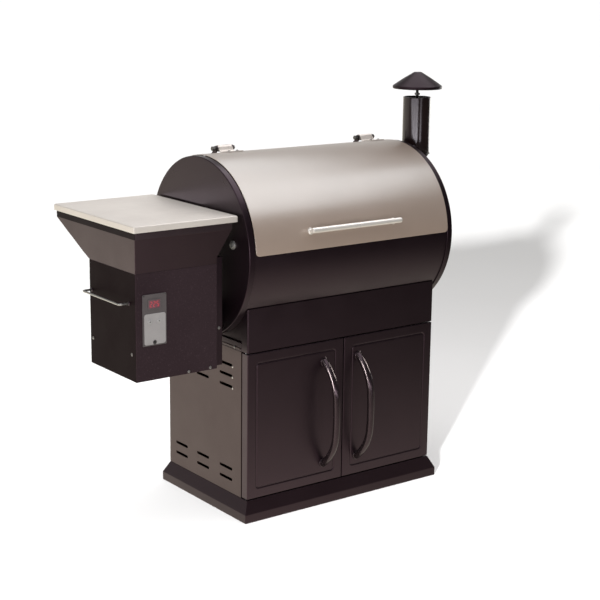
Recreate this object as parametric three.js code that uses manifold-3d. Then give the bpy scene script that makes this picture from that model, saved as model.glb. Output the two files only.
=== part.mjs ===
// Pellet smoker grill on a two-door cabinet, with a side hopper and a capped chimney.
// Millimetres, +Z up, front faces -Y, so left is -X and right is +X.
// Origin: on the floor, under the middle of the barrel's axis.
import * as THREE from "three";
import { mergeVertices } from "three/addons/utils/BufferGeometryUtils.js";
import Module from "manifold-3d";

const wasm = await Module();
wasm.setup();

// ---------- dimensions shared between sections ----------
const GAP = 0.3; // running clearance between neighbouring sheets
const SHEET = 2.5; // sheet metal thickness
const SIDES = [["left", -1], ["right", 1]];

const AXIS_Z = 833; // height of the barrel's axis
const CAP_X = 399.5; // outer face of an end cap
const SHELL_R = 274.5; // outside radius of the barrel skin
const ARC_STEP = 6; // degrees per facet

const DOOR_Y = -226; // front plane of doors, fascia and hopper
const DRAIN_X = 315;
const DRAIN_HOLE_R = 16.2;

const AUGER_Z = 620;
const AUGER_TUBE_R = 30;
const AUGER_BORE_R = AUGER_TUBE_R + 0.5; // holes the tube passes through
const POT_R = 60;

const CHIMNEY_X = 474;
const CHIMNEY_R = 46.3;
const ELBOW_TURN_Z = 1077; // top of the elbow's slanting run
const ELBOW_SLANT = 42; // that run's fall, and its reach towards the barrel
const ELBOW_OUT_Z = ELBOW_TURN_Z - ELBOW_SLANT; // the level run into the barrel

// ---------- finishes ----------
const finish = (settings) => new THREE.MeshStandardMaterial(settings);
const black = () => finish({ color: 0x1b1718, roughness: 0.45, metalness: 0.3 });
const charcoal = () => finish({ color: 0x2a2526, roughness: 0.55, metalness: 0.2 });
const champagne = () => finish({ color: 0xb5a595, roughness: 0.35, metalness: 0.7 });
const steel = () => finish({ color: 0xc9c8c5, roughness: 0.3, metalness: 0.9 });
const zinc = () => finish({ color: 0x8f9193, roughness: 0.45, metalness: 0.8 });
const rubber = () => finish({ color: 0x101010, roughness: 0.9, metalness: 0 });
const silver = () => finish({ color: 0xb9b7b7, roughness: 0.5, metalness: 0.2 });

// ---------- solids and booleans ----------
const radians = THREE.MathUtils.degToRad;

function toSolid(geometry) {
  const loose = geometry.index ? geometry.toNonIndexed() : geometry;
  // only positions, so that vertices differing in normal or uv still merge
  const bare = new THREE.BufferGeometry().setAttribute("position", loose.attributes.position);
  const merged = mergeVertices(bare, 1e-4);
  return new wasm.Manifold(
    new wasm.Mesh({
      numProp: 3,
      vertProperties: new Float32Array(merged.attributes.position.array),
      triVerts: new Uint32Array(merged.index.array),
    }),
  );
}

function toGeometry(solid) {
  const mesh = solid.getMesh();
  const indexed = new THREE.BufferGeometry();
  indexed.setAttribute("position", new THREE.BufferAttribute(mesh.vertProperties, 3));
  indexed.setIndex(new THREE.BufferAttribute(mesh.triVerts, 1));
  const faceted = indexed.toNonIndexed();
  faceted.computeVertexNormals();
  return faceted;
}

const join = (...parts) => toGeometry(parts.map(toSolid).reduce((a, b) => a.add(b)));
const cut = (body, ...tools) =>
  toGeometry(tools.reduce((rest, tool) => rest.subtract(toSolid(tool)), toSolid(body)));

// ---------- primitives ----------
// the two limits along an axis may come in either order
const box = (x0, x1, y0, y1, z0, z1) =>
  new THREE.BoxGeometry(Math.abs(x1 - x0), Math.abs(y1 - y0), Math.abs(z1 - z0))
    .translate((x0 + x1) / 2, (y0 + y1) / 2, (z0 + z1) / 2);

// a cylinder between two stations on one axis, centred on u, v: the other coordinates in order
function rod(axis, radius, from, to, u, v, segments = 16) {
  const cylinder = new THREE.CylinderGeometry(radius, radius, to - from, segments);
  const middle = (from + to) / 2;
  if (axis === "x") return cylinder.rotateZ(-Math.PI / 2).translate(middle, u, v);
  if (axis === "y") return cylinder.translate(u, middle, v);
  return cylinder.rotateX(Math.PI / 2).translate(u, v, middle);
}

// a profile of [radius, station] turned about X or Z
function turned(axis, profile, u, v, segments = 24) {
  const lathe = (rows) => {
    const points = rows.map(([radius, station]) => new THREE.Vector2(radius, station));
    return toSolid(new THREE.LatheGeometry(points, segments));
  };
  let solid = lathe(profile);
  // a profile drawn the other way round comes out inside out
  if (solid.volume() < 0) solid = lathe([...profile].reverse());
  const body = toGeometry(solid);
  if (axis === "x") return body.rotateZ(-Math.PI / 2).translate(0, u, v);
  return body.rotateX(Math.PI / 2).translate(u, v, 0);
}

const pipe = (axis, outerR, innerR, from, to, u, v) =>
  turned(
    axis,
    [[innerR, from], [outerR, from], [outerR, to], [innerR, to], [innerR, from]],
    u,
    v,
  );

// a [y, z] outline carried along X
function prismX(outline, x0, x1) {
  const section = new THREE.Shape(outline.map(([y, z]) => new THREE.Vector2(y, z)));
  const settings = { depth: x1 - x0, bevelEnabled: false, steps: 1 };
  const axisSwap = new THREE.Matrix4().set(0, 0, 1, x0, 1, 0, 0, 0, 0, 1, 0, 0, 0, 0, 0, 1);
  return new THREE.ExtrudeGeometry(section, settings).applyMatrix4(axisSwap);
}

// a point of the barrel's section: degrees from the front horizontal, over the top
const onBarrel = (angle, radius) => [
  -radius * Math.cos(radians(angle)),
  radius * Math.sin(radians(angle)),
];

// an arched sheet along X between two angles
function arched(outerR, innerR, angle0, angle1, x0, x1, step = ARC_STEP) {
  const angles = [angle0];
  const first = Math.ceil((angle0 + 0.5) / step) * step;
  for (let angle = first; angle < angle1 - 0.5; angle += step) angles.push(angle);
  angles.push(angle1);
  const outside = angles.map((angle) => onBarrel(angle, outerR));
  const inside = angles.map((angle) => onBarrel(angle, innerR)).reverse();
  return prismX([...outside, ...inside], x0, x1);
}

// ---------- bodies built from rings of points ----------
const flipped = (triangles) => triangles.map(([a, b, c]) => [a, c, b]);

// triangles between two rings of equal count
const band = (ringA, ringB) =>
  ringA.flatMap((a, i) => {
    const j = (i + 1) % ringA.length;
    return [[a, ringA[j], ringB[j]], [a, ringB[j], ringB[i]]];
  });
const walls = (rings) => rings.slice(1).flatMap((ring, i) => band(rings[i], ring));
const lidOver = (ring) => ring.slice(2).map((point, i) => [ring[0], ring[i + 1], point]);

// a closed body, turned right side out
function closed(triangles) {
  const build = (list) =>
    new THREE.BufferGeometry().setAttribute(
      "position",
      new THREE.Float32BufferAttribute(list.flat(2), 3),
    );
  const body = build(triangles);
  return toSolid(body).volume() < 0 ? build(flipped(triangles)) : body;
}
const loft = (rings) =>
  closed([...flipped(lidOver(rings[0])), ...lidOver(rings.at(-1)), ...walls(rings)]);

// levels of [rectangle, z], a rectangle being [x0, x1, y0, y1]
const stacked = (levels) =>
  loft(levels.map(([[x0, x1, y0, y1], z]) => [[x0, y0, z], [x1, y0, z], [x1, y1, z], [x0, y1, z]]));
const inset = ([x0, x1, y0, y1], by) => [x0 + by, x1 - by, y0 + by, y1 - by];

// a round bar or tube along a polyline, mitred at its bends; innerR = 0 makes it solid
function mitred(path, outerR, innerR, segments) {
  const points = path.map((point) => new THREE.Vector3(...point));
  const runs = points.slice(1).map((point, i) => point.clone().sub(points[i]).normalize());
  const start = runs[0];
  const across =
    Math.abs(start.z) > 0.9 ? new THREE.Vector3(0, 1, 0) : new THREE.Vector3(0, 0, 1);
  across.sub(start.clone().multiplyScalar(across.dot(start))).normalize();
  const side = new THREE.Vector3().crossVectors(start, across);

  const ringsOf = (radius) => {
    let ring = Array.from({ length: segments }, (_, i) => {
      const turn = (2 * Math.PI * i) / segments;
      return points[0]
        .clone()
        .addScaledVector(across, radius * Math.cos(turn))
        .addScaledVector(side, radius * Math.sin(turn));
    });
    const rings = [ring];
    for (let k = 1; k < points.length; k++) {
      // slide every point along its run to the mitre plane
      const run = runs[k - 1];
      const normal = k < runs.length ? run.clone().add(runs[k]).normalize() : run;
      ring = ring.map((point) => {
        const travel = points[k].clone().sub(point).dot(normal) / run.dot(normal);
        return point.clone().addScaledVector(run, travel);
      });
      rings.push(ring);
    }
    return rings.map((list) => list.map((point) => point.toArray()));
  };

  const outer = ringsOf(outerR);
  if (innerR === 0) return loft(outer);
  const inner = ringsOf(innerR);
  return closed([
    ...walls(outer),
    ...flipped(walls(inner)),
    ...flipped(band(outer[0], inner[0])),
    ...band(outer.at(-1), inner.at(-1)),
  ]);
}

// one flight of a screw about X
function flight({ x0, x1, innerR, outerR, thick, pitch, perTurn }) {
  const steps = Math.round(((x1 - x0) / pitch) * perTurn);
  const rings = Array.from({ length: steps + 1 }, (_, k) => {
    const turn = (2 * Math.PI * k) / perTurn;
    const x = x0 + ((x1 - x0) * k) / steps;
    const corners = [[innerR, 0], [outerR, 0], [outerR, thick], [innerR, thick]];
    return corners.map(([r, shift]) => [x + shift, r * Math.cos(turn), r * Math.sin(turn)]);
  });
  return loft(rings);
}

// ---------- scene ----------
const smoker = new THREE.Group();
smoker.name = "pellet_smoker_grill";

function group(x = 0, z = 0) {
  const child = new THREE.Group();
  child.position.set(x, 0, z);
  smoker.add(child);
  return child;
}

function put(parent, name, geometry, material) {
  const mesh = new THREE.Mesh(geometry, material);
  mesh.name = name;
  parent.add(mesh);
}

// ---------- barrel: built about its own axis ----------
const barrel = group(0, AXIS_Z);
const fromAxis = (z) => z - AXIS_Z;

const SHELL_INNER_R = SHELL_R - SHEET;
const SHELL_ANGLES = [104, 365]; // over the back and bottom; open from front to top
const CAP_R = 277.6; // outside radius of an end cap's rim
const CAP_RIM = 21; // width of the rim band
const CAP_CHAMFER = 2.5;
const CAP_HOLE_X = [380, 410]; // cutters through an end cap
const GRATE_Z = 826;
const LEDGE_HALF = 365;
const LEDGE_W = 20;
const LEDGE_T = 3;
const WELD = 1; // how far ledges and brackets sink into the skin
const TRAY_X0 = -365;
const TRAY_Z = 796; // left end of the drip tray
const TRAY_BRACKETS_X = [[-364, -340], [284, 308]];
const TRAY_BRACKET_Y = 236; // inner ends of the brackets
const trayDrop = (x) => (x - TRAY_X0) * 0.028;
const PROBE_Y = -192.2;
const PROBE_Z = 35;

// skin, with two welded ledges for the grate and four brackets for the tray
function barrelShell() {
  const reachAt = (z) => Math.sqrt(SHELL_INNER_R * SHELL_INNER_R - z * z);
  const ledgeZ = fromAxis(GRATE_Z) - 2.6;
  const reach = reachAt(ledgeZ);
  const ledges = SIDES.map(([, s]) =>
    box(-LEDGE_HALF, LEDGE_HALF, s * (reach - LEDGE_W), s * (reach + WELD), ledgeZ - LEDGE_T, ledgeZ),
  );
  const brackets = TRAY_BRACKETS_X.flatMap(([x0, x1]) => {
    const z = fromAxis(TRAY_Z) - trayDrop(x1) - 1.2;
    return SIDES.map(([, s]) =>
      box(x0, x1, s * TRAY_BRACKET_Y, s * (reachAt(z) + WELD), z - LEDGE_T, z),
    );
  });
  return cut(
    join(
      arched(SHELL_R, SHELL_INNER_R, ...SHELL_ANGLES, -CAP_X + 4, CAP_X - 4),
      ...ledges,
      ...brackets,
    ),
    rod("z", DRAIN_HOLE_R, -300, -200, DRAIN_X, 0),
  );
}
put(barrel, "barrel_shell", barrelShell(), black());

// a pressed disc with a rim band turned over the skin; side is -1 or 1
function endCap(side) {
  const innerR = CAP_R - SHEET;
  const profile = [
    [0, CAP_X],
    [CAP_R - CAP_CHAMFER, CAP_X],
    [CAP_R, CAP_X - CAP_CHAMFER],
    [CAP_R, CAP_X - CAP_RIM],
    [innerR, CAP_X - CAP_RIM],
    [innerR, CAP_X - SHEET],
    [0, CAP_X - SHEET],
  ].map(([radius, x]) => [radius, side * x]);
  return turned("x", profile, 0, 0, 360 / ARC_STEP);
}

function endCapLeft() {
  const [near, far] = CAP_HOLE_X;
  return cut(
    endCap(-1),
    rod("x", AUGER_BORE_R, -far, -near, 0, fromAxis(AUGER_Z), 24),
    rod("x", 6, -far, -near, PROBE_Y, PROBE_Z, 12),
  );
}
put(barrel, "end_cap_left", endCapLeft(), black());

const chimneyHole = rod("x", CHIMNEY_R - 1.5, ...CAP_HOLE_X, 0, fromAxis(ELBOW_OUT_Z), 24);
put(barrel, "end_cap_right", cut(endCap(1), chimneyHole), black());

// temperature probe: a gland on the left cap with a rod into the chamber, [radius, x]
const PROBE_PROFILE = [
  [0, -409], [7.5, -409], [7.5, -406], [13.5, -406], [13.5, -399.8],
  [5.5, -399.8], [5.5, -388], [4, -388], [4, -262], [0, -260],
];
put(barrel, "temp_probe", turned("x", PROBE_PROFILE, PROBE_Y, PROBE_Z, 20), zinc());

// ---------- lid, its handle and hinges ----------
const LID_R = 280.2;
const LID_T = 2;
const LID_HALF = 377.5;
const LID_ANGLES = [2.2, 108];
const LID_STEP = 5; // degrees per facet
const HANDLE_ANGLE = 13.75;
const HANDLE_R = 306; // handle bar's distance from the barrel's axis
const HANDLE_X0 = -186;
const HANDLE_X1 = 162;
const POST_INSET = 12; // post's middle from the end of the bar

const lidSkin = arched(LID_R, LID_R - LID_T, ...LID_ANGLES, -LID_HALF, LID_HALF, LID_STEP);
put(barrel, "lid_skin", lidSkin, champagne());

const handleBar = rod("x", 8.5, HANDLE_X0, HANDLE_X1, ...onBarrel(HANDLE_ANGLE, HANDLE_R));
put(barrel, "lid_handle_bar", handleBar, steel());
// built level, then swung up to the handle's angle
const handlePost = (x) =>
  box(x - 6, x + 6, -HANDLE_R + 8.8, -LID_R - 0.5, -7, 7).rotateX(-radians(HANDLE_ANGLE));
put(barrel, "lid_handle_post_left", handlePost(HANDLE_X0 + POST_INSET), steel());
put(barrel, "lid_handle_post_right", handlePost(HANDLE_X1 - POST_INSET), steel());

const HINGES = [["left", -248], ["right", 321]]; // middle of each hinge, x
const PIVOT_ANGLE = 107; // where the hinge pins are
const PIVOT_R = 297;
const PIN_R = 4;
const LEAF_HALF = 26;
const FOOT_HALF = 36;
const EAR_X = [28, 32]; // inner and outer face of an ear, from the hinge's middle
const pivot = onBarrel(PIVOT_ANGLE, PIVOT_R);
const pinHole = (x, half) => rod("x", PIN_R + 0.4, x - half, x + half, ...pivot);
// outlines as [degrees past the pivot, radius]
const LEAF_WEB = [
  [-0.4, PIVOT_R - 6], [-1.8, PIVOT_R + 4], [-4.6, LID_R + 2.9], [-2.7, LID_R + 0.6],
];
const BRACKET_EAR = [
  [-1.2, PIVOT_R - 5], [-1.6, PIVOT_R + 3], [-0.8, PIVOT_R + 8], [1.5, PIVOT_R + 8],
  [3.2, PIVOT_R + 5], [11.5, SHELL_R + 1], [2.6, SHELL_R + 1],
];
const hingePlate = (outline, x0, x1) =>
  prismX(outline.map(([past, radius]) => onBarrel(PIVOT_ANGLE + past, radius)), x0, x1);

// a strap on the lid, joined by a web to a knuckle round the pin
function hingeLeaf(x) {
  const ends = [x - LEAF_HALF, x + LEAF_HALF];
  const strap = arched(LID_R + 3, LID_R + 0.5, PIVOT_ANGLE - 14, PIVOT_ANGLE - 2.5, ...ends);
  const knuckle = rod("x", 10, ...ends, ...pivot);
  return cut(join(strap, hingePlate(LEAF_WEB, ...ends), knuckle), pinHole(x, 32));
}

// a foot on the skin with two ears
function hingeBracket(x) {
  const [near, far] = EAR_X;
  const foot = arched(
    SHELL_R + 3, SHELL_R + 0.4, PIVOT_ANGLE + 2.5, PIVOT_ANGLE + 12, x - FOOT_HALF, x + FOOT_HALF,
  );
  const earLeft = hingePlate(BRACKET_EAR, x - far, x - near);
  const earRight = hingePlate(BRACKET_EAR, x + near, x + far);
  return cut(join(foot, earLeft, earRight), pinHole(x, 42));
}

// a pin headed at both ends
function hingePin(x) {
  const profile = [
    [0, -45], [7.5, -45], [7.5, -33], [PIN_R, -33], [PIN_R, 33], [6.5, 33], [6.5, 38], [0, 38],
  ].map(([radius, along]) => [radius, x + along]);
  return turned("x", profile, ...pivot, 12);
}

for (const [side, x] of HINGES) {
  put(barrel, "lid_hinge_leaf_" + side, hingeLeaf(x), champagne());
  put(barrel, "lid_hinge_bracket_" + side, hingeBracket(x), black());
  put(barrel, "lid_hinge_pin_" + side, hingePin(x), black());
}

// ---------- inside the chamber ----------
const IGNITER_Z = 581;
const IGNITER_R = 6;

// three long rails under thirteen cross bars
function cookingGrate() {
  const z = fromAxis(GRATE_Z);
  const rails = [[-262, -257], [257, 262], [-3, 3]];
  return join(
    ...rails.map(([y0, y1]) => box(-368, 368, y0, y1, z - 2, z + 3)),
    ...Array.from({ length: 13 }, (_, i) => {
      const x = -360 + 60 * i;
      return box(x - 2.5, x + 2.5, -261, 261, z + 1.5, z + 6);
    }),
  );
}
put(barrel, "cooking_grate", cookingGrate(), zinc());

// two rails on four legs, under eleven cross bars
function warmingRack() {
  const wire = 5;
  const half = 300;
  const railsY = [-40, 165];
  const legFoot = fromAxis(GRATE_Z) + 6.5;
  return join(
    ...railsY.map((y) => box(-half, half, y, y + wire, 108, 113)),
    ...Array.from({ length: 11 }, (_, i) => {
      const x = -half + wire / 2 + 59.5 * i;
      return box(x - wire / 2, x + wire / 2, -39, 169, 111, 115);
    }),
    ...railsY.flatMap((y) =>
      [-half, half - wire].map((x) => box(x, x + wire, y, y + wire, legFoot, 109)),
    ),
  );
}
put(barrel, "warming_rack", warmingRack(), zinc());

// a shallow channel that falls towards the drain
function greaseTray() {
  const half = 258;
  const wall = 2;
  const lip = 16;
  const channel = [
    [-half, 0], [half, 0], [half, lip], [half - wall, lip],
    [half - wall, wall], [-half + wall, wall], [-half + wall, lip], [-half, lip],
  ].map(([y, height]) => [y, height + fromAxis(TRAY_Z)]);
  const tray = prismX(channel, TRAY_X0, DRAIN_X - 5);
  const xyz = tray.attributes.position.array;
  for (let i = 0; i < xyz.length; i += 3) xyz[i + 2] -= trayDrop(xyz[i]);
  return tray;
}
put(barrel, "grease_tray", greaseTray(), zinc());

// a flat top with a front and a back wall
function heatBaffle() {
  const halfX = 130;
  const halfY = 120;
  const topZ = fromAxis(716);
  const wall = (s) =>
    box(-halfX, halfX, s * halfY, s * (halfY - SHEET), fromAxis(592), topZ + 1);
  return join(box(-halfX, halfX, -halfY, halfY, topZ, topZ + SHEET), wall(-1), wall(1));
}
put(barrel, "heat_baffle", heatBaffle(), zinc());

// an open pot with holes in its left wall for the auger tube and the igniter
function firePot() {
  const [bottom, floor, rim] = [568.6, 573, 680].map(fromAxis);
  const innerR = POT_R - 4;
  const profile = [
    [0, bottom], [POT_R, bottom], [POT_R, rim], [innerR, rim], [innerR, floor], [0, floor],
  ];
  return cut(
    turned("z", profile, 0, 0),
    rod("x", AUGER_BORE_R, -70, -40, 0, fromAxis(AUGER_Z), 20),
    rod("x", IGNITER_R + 0.5, -70, -40, 0, fromAxis(IGNITER_Z), 10),
  );
}
put(barrel, "fire_pot", firePot(), charcoal());
put(barrel, "igniter_rod", rod("x", IGNITER_R, -270, -45, 0, fromAxis(IGNITER_Z), 10), steel());

// ---------- chimney: built about its upright pipe ----------
const chimney = group(CHIMNEY_X);
const CHIMNEY_T = 2;
const CHIMNEY_Z1 = 1252;
const ELBOW_Z1 = 1110;
const VENT_CAP_R = 82.8;
const VENT_CAP_T = 1.8;
const VENT_CAP_Z = 1280;

const stack = pipe("z", CHIMNEY_R, CHIMNEY_R - CHIMNEY_T, ELBOW_Z1 + GAP, CHIMNEY_Z1, 0, 0);
put(chimney, "chimney_pipe", stack, black());

// a mitred tube ending in a flange against the right end cap
function chimneyElbow() {
  const capFace = CAP_X - CHIMNEY_X;
  const run = [
    [0, 0, ELBOW_Z1],
    [0, 0, ELBOW_TURN_Z],
    [-ELBOW_SLANT, 0, ELBOW_OUT_Z],
    [capFace + GAP, 0, ELBOW_OUT_Z],
  ];
  return join(
    mitred(run, CHIMNEY_R, CHIMNEY_R - CHIMNEY_T, 24),
    pipe("x", CHIMNEY_R + 12, CHIMNEY_R - 1, capFace + GAP, capFace + 2.8, 0, ELBOW_OUT_Z),
  );
}
put(chimney, "chimney_elbow", chimneyElbow(), black());

const crossbar = box(-43.4, 43.4, -6, 6, 1221, 1225);
put(chimney, "vent_crossbar", cut(crossbar, rod("z", 5.5, 1215, 1230, 0, 0, 12)), black());
put(chimney, "vent_rod", rod("z", 5, 1188, 1331.8, 0, 0, 12), zinc());

// a shallow cone with a flat top and a straight rim, [radius, z]
const VENT_CAP_PROFILE = [
  [0, 1334.6],
  [13, 1334.6],
  [VENT_CAP_R, VENT_CAP_Z + 9.5],
  [VENT_CAP_R, VENT_CAP_Z],
  [VENT_CAP_R - VENT_CAP_T, VENT_CAP_Z],
  [VENT_CAP_R - VENT_CAP_T, VENT_CAP_Z + 8.2],
  [12.4, 1332.2],
  [0, 1332.2],
];
put(chimney, "vent_cap", turned("z", VENT_CAP_PROFILE, 0, 0), black());

// ---------- cabinet ----------
const cabinet = group();
const CAB_X = 370; // half width
const BODY_Y = -191.5; // front edge of the cabinet's sides
const TOP_Y0 = -193; // front edge of the top and the cradles
const BACK_Y = 225;
const CAB_Z0 = 65.6;
const CAB_Z1 = 535.7;
const TOP_Z = 536.5; // underside of the cabinet's top
const FASCIA_Z1 = 672;

const barrelClear = rod("x", SHELL_R + 0.9, -420, 420, 0, AXIS_Z, 60);
// upright sheets at the left and right ends of a panel
const endSheets = (y0, y1, z0, z1) =>
  SIDES.map(([, s]) => box(s * CAB_X, s * (CAB_X - SHEET), y0, y1, z0, z1));

const fascia = join(
  box(-CAB_X, CAB_X, DOOR_Y, DOOR_Y + SHEET, TOP_Z, FASCIA_Z1),
  ...endSheets(DOOR_Y, DOOR_Y + 32, TOP_Z, FASCIA_Z1),
  box(-CAB_X, CAB_X, DOOR_Y, DOOR_Y + 20, TOP_Z, TOP_Z + SHEET),
);
put(cabinet, "fascia_panel", cut(fascia, barrelClear), black());

const apron = join(
  box(-CAB_X, CAB_X, BACK_Y - SHEET, BACK_Y, TOP_Z, FASCIA_Z1),
  ...endSheets(BACK_Y - 20, BACK_Y, 563, FASCIA_Z1),
);
put(cabinet, "rear_apron", cut(apron, barrelClear), black());

for (const [side, s] of SIDES) {
  const outerX = CAB_X - 6;
  const plate = box(s * outerX, s * (outerX - SHEET), TOP_Y0, 204, TOP_Z + SHEET + GAP, 640);
  put(cabinet, "cradle_" + side, cut(plate, barrelClear), black());
}

const cabinetTop = cut(
  join(
    box(-CAB_X, CAB_X, TOP_Y0, BACK_Y - 3, TOP_Z, TOP_Z + SHEET),
    ...endSheets(TOP_Y0, 204.5, TOP_Z, 562),
  ),
  rod("z", DRAIN_HOLE_R, 530, 545, DRAIN_X, 0),
  barrelClear,
);
put(cabinet, "cabinet_top", cabinetTop, black());

// a wall with a front flange and a grid of slots
const SLOT_L = 70;
const SLOT_H = 9;
const SLOTS_Y = [-108, 24.5, 151.5]; // middle of each column
const SLOTS_Z = [411.7, 446.6, 480.5, 109.5, 144]; // three high rows, two low
function cabinetSide(s) {
  const wall = join(
    box(s * CAB_X, s * (CAB_X - SHEET), BODY_Y, BACK_Y, CAB_Z0, CAB_Z1),
    box(s * CAB_X, s * (CAB_X - 20), BODY_Y, BODY_Y + SHEET, CAB_Z0, CAB_Z1),
  );
  const cutterX = [s * (CAB_X + 3), s * (CAB_X - SHEET - 3)];
  const slots = SLOTS_Y.flatMap((y) =>
    SLOTS_Z.map((z) =>
      box(...cutterX, y - SLOT_L / 2, y + SLOT_L / 2, z - SLOT_H / 2, z + SLOT_H / 2),
    ),
  );
  return cut(wall, ...slots);
}
for (const [side, s] of SIDES) put(cabinet, "cabinet_side_" + side, cabinetSide(s), black());

const innerX = CAB_X - 3;
const back = box(-innerX, innerX, BACK_Y - SHEET, BACK_Y, CAB_Z0, CAB_Z1);
put(cabinet, "cabinet_back", back, black());
const floor = box(-innerX, innerX, BODY_Y + 3, BACK_Y - 3, CAB_Z0, CAB_Z0 + SHEET);
put(cabinet, "cabinet_floor", floor, black());

// a hollow skirt with a lip at the top, and a lip and a middle strap on the floor
function plinthBase() {
  const flare = 19; // how far the skirt stands out
  const wall = 3;
  const lip = 30; // floor openings' inset from the cabinet's outline
  const level = (out, z) => [inset([-CAB_X, CAB_X, DOOR_Y, BACK_Y], -out), z];
  const opening = (s) => box(s * (CAB_X - lip), s * 30, DOOR_Y + lip, BACK_Y - lip, -5, 3);
  return cut(
    stacked([level(flare, 0), level(flare, 28), level(0, 65)]),
    opening(-1),
    opening(1),
    stacked([level(flare - wall, 2.5), level(flare - wall, 26.5), level(-4, 62)]),
    stacked([level(-40, 55), level(-40, 70)]),
  );
}
put(cabinet, "plinth_base", plinthBase(), black());

// ---------- doors: pressed pans that turn on full-height rods ----------
const DOOR_D = 30;
const DOOR_Z0 = 68;
const DOOR_Z1 = 533;
const DOOR_PIN_X = 362; // from the middle of the cabinet
const DOOR_PIN_Y = -207;
const DOOR_PIN_R = 4;
const DOOR_HANDLE_X = { left: -78, right: 59 };
const DOOR_HANDLE_Z = [129, 469];
const DOOR_HANDLE_OUT = 67;
const DOOR_HANDLE_R = 11.5;
// the bow: [share of the height, share of the reach], steep at the ends, flat in the middle
const HANDLE_BOW = [
  [0.055, 0.33], [0.13, 0.66], [0.22, 0.9], [0.32, 1],
  [0.68, 1], [0.78, 0.9], [0.87, 0.66], [0.945, 0.33],
];

function doorPan(s) {
  const outerX = CAB_X - GAP;
  const meetX = 1.5;
  const [z0, z1] = [DOOR_Z0, DOOR_Z1];
  const hollowX = [s * (outerX - SHEET), s * (meetX + SHEET)];
  return cut(
    box(s * outerX, s * meetX, DOOR_Y, DOOR_Y + DOOR_D, z0, z1),
    box(...hollowX, DOOR_Y + SHEET, DOOR_Y + DOOR_D + 5, z0 + SHEET, z1 - SHEET),
    rod("z", DOOR_PIN_R + 0.4, z0 - 5, z1 + 5, s * DOOR_PIN_X, DOOR_PIN_Y, 12),
  );
}

// a bowed bar whose ends run past the door's face and are trimmed flush with it
function doorHandle(x) {
  const [z0, z1] = DOOR_HANDLE_Z;
  const face = DOOR_Y - GAP;
  const path = [
    [x, face + 12, z0 - 5],
    ...HANDLE_BOW.map(([up, out]) => [x, face - DOOR_HANDLE_OUT * out, z0 + (z1 - z0) * up]),
    [x, face + 12, z1 + 5],
  ];
  const trim = box(x - 40, x + 40, face, face + 60, z0 - 60, z1 + 60);
  return cut(mitred(path, DOOR_HANDLE_R, 0, 12), trim);
}

for (const [side, s] of SIDES) {
  const hingeEnds = [CAB_Z0 - GAP, TOP_Z - GAP];
  const hingeRod = rod("z", DOOR_PIN_R, ...hingeEnds, s * DOOR_PIN_X, DOOR_PIN_Y, 10);
  put(cabinet, "door_" + side, doorPan(s), black());
  put(cabinet, "door_hinge_rod_" + side, hingeRod, zinc());
  put(cabinet, "door_handle_" + side, doorHandle(DOOR_HANDLE_X[side]), black());
}

// ---------- hopper ----------
const hopper = group();
const HOP_X0 = -755.5;
const HOP_X1 = -480;
const HOP_Y0 = DOOR_Y;
const HOP_Y1 = 42.3;
const HOP_Z0 = 509;
const HOP_Z1 = 826;
const CHASSIS_X1 = -444;
const CHASSIS_Y0 = -200;
const CHASSIS_Z1 = 840;
const KEYS = [
  { name: "power_button", x: -695.2, z: 622.5, radius: 4.2, material: rubber },
  { name: "key_up", x: -711, z: 684, radius: 6, material: silver },
  { name: "key_down", x: -681, z: 684, radius: 6, material: silver },
];
const keyHoles = (clearance, y0, y1, segments) =>
  KEYS.map(({ x, z, radius }) => rod("y", radius + clearance, y0, y1, x, z, segments));

// an open-topped case with a window in its right side and holes for the keys
function hopperShell() {
  const hollow = inset([HOP_X0, HOP_X1, HOP_Y0, HOP_Y1], SHEET);
  const windowX = [HOP_X1 - 10, HOP_X1 + 10];
  return cut(
    box(HOP_X0, HOP_X1, HOP_Y0, HOP_Y1, HOP_Z0, HOP_Z1),
    box(...hollow, HOP_Z0 + SHEET, HOP_Z1 + 10),
    box(...windowX, CHASSIS_Y0 + 6, HOP_Y1 - 6, HOP_Z0 + 6, HOP_Z1 - 60),
    ...keyHoles(1.5, HOP_Y0 - 5, HOP_Y0 + 8, 12),
  );
}
put(hopper, "hopper_shell", hopperShell(), charcoal());

// a box open to the left, with a round neck to the barrel
function hopperChassis() {
  const hollowY = [CHASSIS_Y0 + SHEET, HOP_Y1 - SHEET];
  const hollowZ = [HOP_Z0 + SHEET, CHASSIS_Z1 - SHEET];
  return cut(
    join(
      box(HOP_X1 + GAP, CHASSIS_X1, CHASSIS_Y0, HOP_Y1, HOP_Z0, CHASSIS_Z1),
      rod("x", 41, CHASSIS_X1 - 1, -CAP_X - GAP, 0, AUGER_Z, 24),
    ),
    box(HOP_X1 - 5, CHASSIS_X1 - SHEET, ...hollowY, ...hollowZ),
    rod("x", AUGER_BORE_R, -500, -390, 0, AUGER_Z, 24),
  );
}
put(hopper, "hopper_chassis", hopperChassis(), charcoal());

const COLLAR_X1 = -427.4;
const COLLAR_Y1 = 242.5;
const COLLAR_Z0 = 923.3;
const COLLAR_Z1 = 944;
const FLARE_Z0 = 845.5; // where the flared right side meets the straight throat
const BACK_FLARE_Z0 = 825; // the back's slope starts lower
const HOP_LID = { x0: -762, x1: -410.7, y0: -233.3, y1: 248.1, z0: 944.4, z1: 963.1 };
const HOP_HINGE_X = -585; // middle of the lid's hinge
const HOP_PIN = [255, 950]; // its pin, y and z
const hingeCylinder = (radius, from, to) =>
  rod("x", radius, HOP_HINGE_X + from, HOP_HINGE_X + to, ...HOP_PIN, 12);

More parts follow.
